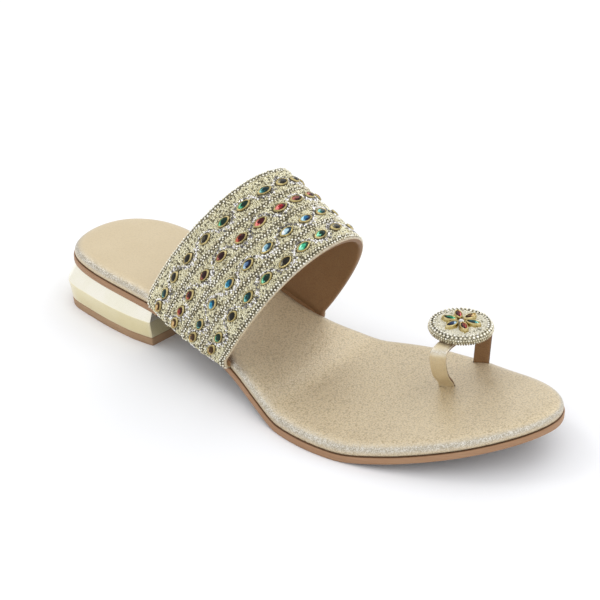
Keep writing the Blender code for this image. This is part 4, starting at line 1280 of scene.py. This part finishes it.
chains = {
    # distance from a separator, pitch, size, tone, spread of the tone, zigzag, start in beads, height
    "cream": [(-0.6, 1.45, 1.08, 0.76, 0.2, 0.12, 0.0, 0.35), (0.6, 1.45, 1.08, 0.76, 0.2, 0.12, 0.5, 0.35)],
    "dark": [(1.3, 1.45, 0.62, 0.4, 0.25, 0.0, 0.0, 0.2), (-1.3, 1.45, 0.62, 0.4, 0.25, 0.0, 0.5, 0.2)],
    # the same along the rear rim, and back from the tape of the front rim
    "rear": [(0.62, 1.5, 1.05, 0.78, 0.12, 0.0, 0.5, 0.2), (2.1, 1.5, 1.1, 0.8, 0.16, 0.15, 0.0, 0.35)],
    "front": [(-0.5, 1.5, 1.05, 0.8, 0.12, 0.1, 0.0, 0.35), (-1.7, 1.5, 1.05, 0.78, 0.16, 0.0, 0.5, 0.35)],
    "loose": 0.1, "vary": (0.86, 1.08),  # spread of a bead's place, least and greatest share of its size
    # the dark thread under the chains: step along it, points across it and how far it runs on into the
    # tails, then the height of its braid, gain of its middle, height of its hems and of its underside
    "threadStep": 1.6, "threadPoints": 5, "threadOver": 1.0, "threadRise": (0.1, 1.3, -0.1, -0.25),
    "rimThread": (0.5, 0.1),  # how far the thread keeps from the rear rim and from the tape
}


def beadLine(line, aside, pitch, size, tone, spread, zig, phase, height):
    # one line of beads along the strap; zig puts every other bead aside
    across, loose = line + aside, chains["loose"]
    runs = np.arange(visible[0] + phase * pitch, visible[1], pitch)
    n = len(runs)
    side = across + wander(runs) * awayFromRims(across) + np.where(np.arange(n) % 2, zig, -zig)
    side = side + luck.normal(0, loose, n)
    spots, frames = strapAt(runs + luck.normal(0, loose, n), side, height)
    sizes = np.full((n, 3), size / 2) * luck.uniform(*chains["vary"], (n, 3))
    return spots, frames, sizes, np.clip(luck.normal(tone, spread, n), 0, 1)


def threadBand(low, high):
    # flat braid of dark thread between two lines, given as distances across the strap
    height, crown, hem, base = chains["threadRise"]
    over = chains["threadOver"]
    runs = np.arange(visible[0] - over, visible[1] + over, chains["threadStep"])
    drift = wander(runs) * awayFromRims((low + high) / 2)
    across = np.linspace(low, high, chains["threadPoints"])[None] + drift[:, None]
    rise = np.array([hem, height, height * crown, height, hem])[None] * np.ones((len(runs), 1))
    top = strapAt(runs[:, None], across, rise)[0]
    under = strapAt(runs, across[:, 2], base)[0]
    return stackedRings(np.concatenate([top, under[:, None]], axis=1))


creamLines, darkLines, bands = [], [], []
for line in beadwork["separators"]:
    bands.append(threadBand(line - half, line + half))
    creamLines += [beadLine(line, *row) for row in chains["cream"]]
    darkLines += [beadLine(line, *row) for row in chains["dark"]]
rear, front = chains["rimThread"]
bands += [threadBand(rear, edge), threadBand(frontLine - edge, frontLine - front)]
creamLines += [beadLine(0, *row) for row in chains["rear"]]
creamLines += [beadLine(frontLine, *row) for row in chains["front"]]
makePiece("darkThread", joinShapes(bands), [darkThread], sharp=50, slot="beaded_strap")
scatter("beadLines", beadShape, joinBatches(creamLines), beadFinish, "beaded_strap", sharp=60)
scatter("darkBeadLines", grainShape, joinBatches(darkLines), beadFinish, "beaded_strap")


def garland():
    # silver crystals that swing round the stones: in front of the odd ones, behind the even ones
    batches = []
    for r, line in enumerate(beadwork["rowAcross"]):
        runs = stoneRuns(r)
        count = len(runs)
        path = np.arange(*visible, 0.05)
        phase = np.interp(path, runs, np.arange(count), left=-0.5, right=count - 0.5)
        wave = -np.cos(math.pi * phase)
        side = line + wander(path) + silver["swing"] * np.sign(wave) * np.abs(wave) ** silver["swingShape"]
        length = runOf(np.stack([path, side], axis=1))
        steps = np.arange(0, length[-1], silver["step"])
        run, across = np.interp(steps, length, path), np.interp(steps, length, side)
        n = len(run)
        run = run + luck.normal(0, silver["jitter"][0], n)
        across = across + luck.normal(0, silver["jitter"][1], n)
        batches.append((run, across, luck.uniform(*silver["size"], n), mixedTones(n, *silver["tones"])))
        # a second crystal beside the first thickens the line
        double = luck.random(n) < silver["second"]
        n = double.sum()
        extra = run[double] + luck.normal(0, silver["secondAlong"], n)
        aside = across[double] + luck.choice([-1.0, 1.0], n) * luck.uniform(*silver["secondAside"], n)
        size = luck.uniform(*silver["secondSize"], n)
        batches.append((extra, aside, size, mixedTones(n, *silver["tones"])))
        for k, stone in enumerate(runs):
            away = 1 if k % 2 else -1
            long, wide = silver["rayShape"]
            for turn in np.radians(silver["rayTurns"]):
                for reach, size in silver["rays"][away]:
                    run = stone + long * reach * math.sin(turn)
                    across = line + wander(stone) + away * reach * math.cos(turn) * wide
                    batches.append((*np.array([[run], [across], [size]]), mixedTones(1, *silver["tones"])))
    run, across, size, tone = joinBatches(batches)
    rear, front = silver["rims"]
    inside = (run > visible[0]) & (run < visible[1]) & (across > rear) & (across < strapWidth - front)
    inside &= clearOfStones(run, across, silver["margin"])
    return run[inside], across[inside], size[inside], tone[inside]


run, across, size, tone = garland()
spots, frames = strapAt(run, across, silver["height"])
frames = jostled(spun(frames, luck.uniform(0, math.pi, len(run))), silver["tilt"])
scatter("silverGarland", crystalShape, (spots, frames, np.repeat(size[:, None], 3, axis=1), tone),
        silverFinish, "crystal")
print("beadwork made", len(run), "crystals")

toeRing = {
    "station": 196.2, "centreX": -22.2, "slant": 23.0, "depth": 4.9, "steps": 130,
    # across and height over the insole, from the outer leg over the toe to the inner leg
    "loop": [(12.0, 0.4), (16.0, 6.3), (18.8, 12.0), (20.0, 17.0), (19.6, 20.6), (16.6, 22.2), (9.0, 22.4),
             (-5.0, 22.4), (-11.6, 22.1), (-14.8, 20.4), (-15.8, 16.6), (-15.6, 11.0), (-15.2, 5.5),
             (-14.9, 0.4)],
    # half section from the middle out: distance and depth, cover first, then the lining
    "cover": [(0, -0.14), (0.9, -0.12), (1.8, -0.05), (2.45, 0.05), (2.62, 0.09), (2.74, 0.05),
              (2.9, -0.08), (3.1, -0.12), (3.28, -0.05), (3.42, 0.13), (3.47, 0.4), (3.42, 0.68),
              (3.25, 0.88), (2.9, 0.92)],
    "lining": [(3.0, 0.8), (3.22, 0.95), (3.22, 1.25), (3.1, 1.42), (2.9, 1.5), (1.5, 1.5), (0, 1.5)],
    # half length and half width of a slit, how far in from the leg, how deep, and the cutter's top
    "slit": (3.52, 0.95), "slitIn": 0.75, "slitDeep": 3.4, "slitOver": 4, "legSteps": 5, "legTop": 0.6,
    "paintDepth": 0.1, "paintFrom": 2.8,
    "ends": ((0.3, 1.0), (0.05, -1.0)),  # directions of the loop where it leaves and meets the insole
}
slant = math.radians(toeRing["slant"])
loop = openCurve(np.array(toeRing["loop"]), *toeRing["ends"], toeRing["steps"])
legs = -np.linspace(toeRing["depth"], toeRing["legTop"], toeRing["legSteps"])
loop = np.vstack([np.column_stack([np.full(len(legs), loop[0, 0]), legs]), loop,
                  np.column_stack([np.full(len(legs), loop[-1, 0]), legs[::-1]])])
loopAlong = unit(np.gradient(loop, axis=0))
ringTop = insoleBase(toeRing["station"]) + sole["insoleThick"]


def bothSides(half):
    half = np.array(half, float)
    return np.vstack([(half[::-1] * (-1, 1))[:-1], half])


def ringStrip(outline):
    # the closed outline swept along the loop
    base = np.column_stack([toeRing["centreX"] + loop[:, 0], np.full(len(loop), toeRing["station"]),
                            ringTop + loop[:, 1]])
    along = np.column_stack([loopAlong[:, 0], np.zeros(len(loop)), loopAlong[:, 1]])
    side = np.array([-math.sin(slant), math.cos(slant), 0.0])
    normal = unit(np.cross(np.broadcast_to(side, along.shape), along))
    return stackedRings(base[:, None] + side * outline[None, :, 0, None]
                        - normal[:, None] * outline[None, :, 1, None])


cover = bothSides(toeRing["cover"])
# the cut edges between cover and lining are painted brown
painted = np.minimum(cover[:, 1], np.roll(cover[:, 1], -1)) > toeRing["paintDepth"]
painted &= np.abs(cover[:, 0]) > toeRing["paintFrom"]
coverSlot = np.tile(painted.astype(int), len(loop) - 1).tolist() + [1, 1]
makePiece("ringCover", ringStrip(cover), [ringLeather, edgePaint], faceSlot=coverSlot, sharp=60,
          replaced=["toe_ring"], slot="champagne_leatherette")
makePiece("ringLining", ringStrip(bothSides(toeRing["lining"][::-1])[::-1]), [lining], sharp=50,
          slot="champagne_leatherette")


def cutSlit(piece, leg):
    # opening in the insole cover that the leg of the ring goes down through
    along = np.array([-math.sin(slant), math.cos(slant)])
    across = np.array([math.cos(slant), math.sin(slant)])
    spot = np.array([toeRing["centreX"] + leg[0], toeRing["station"]])
    spot = spot - np.sign(leg[0]) * across * toeRing["slitIn"]
    a, b = along * toeRing["slit"][0], across * toeRing["slit"][1]
    corners = spot + np.array([-b - a, b - a, b + a, a - b])
    rings = [np.column_stack([corners, np.full(4, z)])
             for z in (ringTop - toeRing["slitDeep"], ringTop + toeRing["slitOver"])]
    tool = makePiece("slitTool", stackedRings(rings), [lining])
    cut = piece.modifiers.new("slit", "BOOLEAN")
    cut.operation, cut.solver, cut.object = "DIFFERENCE", "EXACT", tool
    done = bpy.data.meshes.new_from_object(piece.evaluated_get(bpy.context.evaluated_depsgraph_get()))
    piece.modifiers.clear()
    piece.data = done
    bpy.data.objects.remove(tool, do_unlink=True)


for leg in (toeRing["loop"][0], toeRing["loop"][-1]):
    cutSlit(insole, leg)
print("toe ring made")

plate = {
    "place": (-20.2, 195.2, 36.6), "tilt": 1.0, "points": 96,
    # radius and depth under the top face
    "profile": [(11.0, 3.0), (12.4, 2.9), (13.0, 2.5), (13.3, 1.7), (13.25, 0.95), (12.8, 0.35), (12.2, 0.1),
                (11.0, 0.02), (8.0, 0.0), (4.0, 0.0)],
    "grainPitch": 0.78, "grainReach": 10.9, "grainSpan": 13.5, "grainJitter": 0.18, "grainSize": (0.30, 0.46),
    # share and tone of the dark grains, middle and spread of the light ones
    "grainDark": (0.07, 0.2), "grainLight": (0.86, 0.12),
    "grainHeight": 0.12, "grainTilt": 0.3, "grainTurn": 6.28,
    "petalMargin": -0.3, "crystalVary": (0.94, 1.04), "crystalSpread": 0.1, "beadSpread": 0.14,
    # count, turn in beads, radius, depth, size, lean in radians, tone
    "crystals": [(44, 0.0, 12.75, -0.02, 0.60, 0.35, 0.86), (44, 0.5, 11.35, -0.26, 0.52, 0.0, 0.84)],
    # count, turn in beads, radius, depth, size, tone: the dark stitches of the border, painted shade in the
    # gaps between its crystals, then the beaded side, darker towards the bottom
    "beads": [(44, 0.25, 12.15, -0.1, 0.85, 0.12), (78, 0.25, 13.3, 1.0, 0.92, 0.7),
              (78, 0.5, 13.4, 1.85, 0.92, 0.5), (78, 0.25, 13.1, 2.6, 0.82, 0.34)],
    "petalTurn": -14.0, "petalRadius": 5.1, "petalLength": 7.2, "petalWidth": 3.8, "petalHeight": 1.9,
    # inner size of a petal's setting, size and levels of its stone, how far it stands off the plate, and the
    # angle in radians from which its flash is painted
    "petalInner": (5.5, 2.45), "petalStone": (5.7, 2.6, 1.2, 2.1), "petalRise": 0.2, "litFrom": 2.4,
    "petalColors": ["navy", "garnet", "teal", "amber", "ruby", "emerald"],
    # radius, height and turn of the centre stone's levels, then distance, height and radius up a claw
    "centre": [(1.15, 0.2, 0), (1.35, 1.05, 0), (1.1, 1.45, 0.5), (0.72, 1.75, 0)],
    "claw": [(1.45, 0.1, 0.28), (1.5, 0.7, 0.26), (1.42, 1.1, 0.24), (1.25, 1.32, 0.2), (1.1, 1.38, 0.1)],
    "clawTurn": 16, "clawSides": 8, "centreLit": (-0.6, 0.6),
}
plateTilt = math.radians(plate["tilt"])
plateAxes = np.array([[1, 0, 0], [0, math.cos(plateTilt), math.sin(plateTilt)],
                      [0, -math.sin(plateTilt), math.cos(plateTilt)]])
plateSpot = np.array(plate["place"])
petalTurns = [math.radians(plate["petalTurn"] + 60 * k) for k in range(6)]


def onPlate(points):
    return placed(points, plateSpot, plateAxes)


discPoints, discFaces = stackedRings([circle(radius, -depth, turns(plate["points"]))
                                      for radius, depth in plate["profile"]])
bands = [1, 1, 2, 2, 2, 2, 2, 0, 0]  # lining below, stitched ground round the side, glitter on the face
makePiece("plateDisc", (onPlate(discPoints), discFaces), [silverGlitter, lining, zariCloth],
          faceSlot=np.repeat(bands, plate["points"]).tolist() + [1, 0], sharp=50, replaced=["ring_disc"],
          slot="plate_glitter")

# glitter grains on the face
pitch, jitter, margin = plate["grainPitch"], plate["grainJitter"], plate["petalMargin"]
grid = np.arange(-plate["grainSpan"], plate["grainSpan"], pitch)
gx, gy = np.meshgrid(grid, grid * hexRow)
gx = (gx + (np.arange(len(grid)) % 2)[:, None] * pitch / 2).ravel()
gx = gx + luck.uniform(-jitter, jitter, len(gx))
gy = gy.ravel() + luck.uniform(-jitter, jitter, len(gx))
keep = np.hypot(gx, gy) < plate["grainReach"]
for a in petalTurns:
    u = (gx * math.cos(a) + gy * math.sin(a) - plate["petalRadius"]) / (plate["petalLength"] / 2 + margin)
    v = (gy * math.cos(a) - gx * math.sin(a)) / (plate["petalWidth"] / 2 + margin)
    keep &= u * u + v * v > 1
gx, gy = gx[keep], gy[keep]
n = len(gx)
frames = spun(np.repeat(np.eye(3)[None], n, axis=0), luck.uniform(0, plate["grainTurn"], n))
frames = jostled(frames, plate["grainTilt"]) @ plateAxes
spots = onPlate(np.column_stack([gx, gy, np.full(n, plate["grainHeight"])]))
darkShare, darkTone = plate["grainDark"]
dark = luck.random(n) < darkShare
sizes = luck.uniform(*plate["grainSize"], (n, 3))
tones = np.clip(np.where(dark, darkTone, luck.normal(*plate["grainLight"], n)), 0, 1)
scatter("plateGlitter", grainShape, (spots, frames, sizes, tones), sugarFinish, "plate_glitter")


def plateRow(count, offset, radius, depth, lean):
    # places and frames round the plate: x along the rim, y outward, z leaning out from upright
    angles = turns(count, offset)
    c, s, zero = np.cos(angles), np.sin(angles), np.zeros(count)
    x = np.stack([-s, c, zero], axis=1)
    z = np.stack([c, s, zero], axis=1) * math.sin(lean) + np.array([0, 0, 1.0]) * math.cos(lean)
    return onPlate(circle(radius, -depth, angles)), np.stack([x, np.cross(z, x), z], axis=1) @ plateAxes


batches = []
for count, offset, radius, depth, size, lean, tone in plate["crystals"]:
    spots, frames = plateRow(count, offset, radius, depth, lean)
    sizes = np.repeat(luck.uniform(*plate["crystalVary"], (count, 1)) * size, 3, axis=1)
    tones = np.clip(luck.normal(tone, plate["crystalSpread"], count), 0, 1)
    batches.append((spots, frames, sizes, tones))
scatter("plateCrystals", crystalShape, joinBatches(batches), beadFinish, "crystal")
batches = []
for count, offset, radius, depth, size, tone in plate["beads"]:
    spots, frames = plateRow(count, offset, radius, depth, math.pi / 2)
    tones = np.clip(luck.normal(tone, plate["beadSpread"], count), 0, 1)
    batches.append((spots, frames, np.full((count, 3), size / 2), tones))
scatter("plateSideBeads", beadShape, joinBatches(batches), beadFinish, "plate_glitter", sharp=60)

petalPoints, petalFaces = settingMesh(plate["petalLength"], plate["petalWidth"], *plate["petalInner"],
                                      plate["petalHeight"])[:2]
petalGem = gemMesh(*plate["petalStone"])
for k, a in enumerate(petalTurns):
    turned = spunOne(np.eye(3), a) @ plateAxes
    spot = onPlate([math.cos(a) * plate["petalRadius"], math.sin(a) * plate["petalRadius"],
                    plate["petalRise"]])
    toward = (math.cos(plate["litFrom"] - a), math.sin(plate["litFrom"] - a))
    makePiece(f"petalSetting_{k + 1}", (placed(petalPoints, spot, turned), petalFaces), [settingGold],
              sharp=40, replaced=[f"petal_{k + 1}"], slot="gold_setting")
    makePiece(f"petalStone_{k + 1}", (placed(petalGem[0], spot, turned), petalGem[1]),
              [stones[plate["petalColors"][k]]], tone=gemPaintedTones(petalGem, 40 + k, toward), slot="crystal")

centre = cutStone(10, plate["centre"])
makePiece("centreStone", (onPlate(centre[0]), centre[1]), [stones["crystal"]],
          tone=gemPaintedTones(centre, 77, plate["centreLit"], "crystal"), replaced=["centre_stone"], slot="crystal")
claws = []
for k in range(6):
    turned = spunOne(np.eye(3), math.radians(plate["clawTurn"] + 60 * k))
    claws.append(stackedRings([(circle(radius, z, turns(plate["clawSides"])) + (x, 0, 0)) @ turned
                               for x, z, radius in plate["claw"]]))
clawPoints, clawFaces = joinShapes(claws)
makePiece("centreClaws", (onPlate(clawPoints), clawFaces), [settingGold], sharp=50, slot="gold_setting")
print("plate made")

studio = {  # metres
    "worldStrength": 0.98,
    # energy, size, place
    "lights": {"keyLight": (2.2, 0.8, (-1.0, 0.1, 0.9)), "fillLight": (1.4, 0.8, (0.1, 1.0, 0.8)),
               "edgeLight": (1.5, 0.35, (0.2, -0.7, 1.0))},
    "lightAim": (0, 0, 0.03),
    "cameraFrom": (0.47638, 0.37866, 0.38048), "aim": (0.0, 0.004, 0.035), "lens": 98.0, "sensor": 36.0,
    "clip": (0.01, 20), "roll": 0.32,
    "floorHalf": 5, "floorColors": ((0.93, 0.93, 0.94), (0.95, 0.95, 0.955)), "skyColor": (0.99, 1.0, 1.02),
}


def makeFloor():
    mesh = bpy.data.meshes.new("studioFloor")
    half = studio["floorHalf"]
    mesh.from_pydata([(-half, -half, 0), (half, -half, 0), (half, half, 0), (-half, half, 0)], [],
                     [(0, 1, 2, 3)])
    material, tree, skin = newMaterial("studioFloor", Roughness=0.9, Specular_IOR_Level=0.1)
    first, second = studio["floorColors"]
    mottle = useGroup(tree, "softMottle", Color_A=first, Color_B=second, Patches_per_metre=3.0)
    feed(tree, skin, Base_Color=mottle["Color"])
    mesh.materials.append(material)
    floor = bpy.data.objects.new("studioFloor", mesh)
    scene.collection.objects.link(floor)
    floor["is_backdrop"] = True


def putInScene(name, data, spot, aim):
    thing = bpy.data.objects.new(name, data)
    thing.location = spot
    thing.rotation_euler = (Vector(aim) - Vector(spot)).to_track_quat("-Z", "Y").to_euler()
    scene.collection.objects.link(thing)
    return thing


makeFloor()
world = bpy.data.worlds.new("studioWorld")
world.use_nodes = True
feed(world.node_tree, world.node_tree.nodes["Background"].inputs, Color=studio["skyColor"],
     Strength=studio["worldStrength"])
scene.world = world
for name, (energy, size, spot) in studio["lights"].items():
    light = bpy.data.lights.new(name, "AREA")
    light.energy, light.size, light.shape = energy, size, "SQUARE"
    putInScene(name, light, spot, studio["lightAim"])
scene.view_settings.view_transform = "Standard"

lens = bpy.data.cameras.new("camera")
lens.lens, lens.sensor_width = studio["lens"], studio["sensor"]
lens.clip_start, lens.clip_end = studio["clip"]
camera = putInScene("camera", lens, studio["cameraFrom"], studio["aim"])
camera.rotation_euler.rotate_axis("Z", math.radians(studio["roll"]))
scene.camera = camera

bpy.context.view_layer.update()
low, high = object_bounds()
print("stage set")
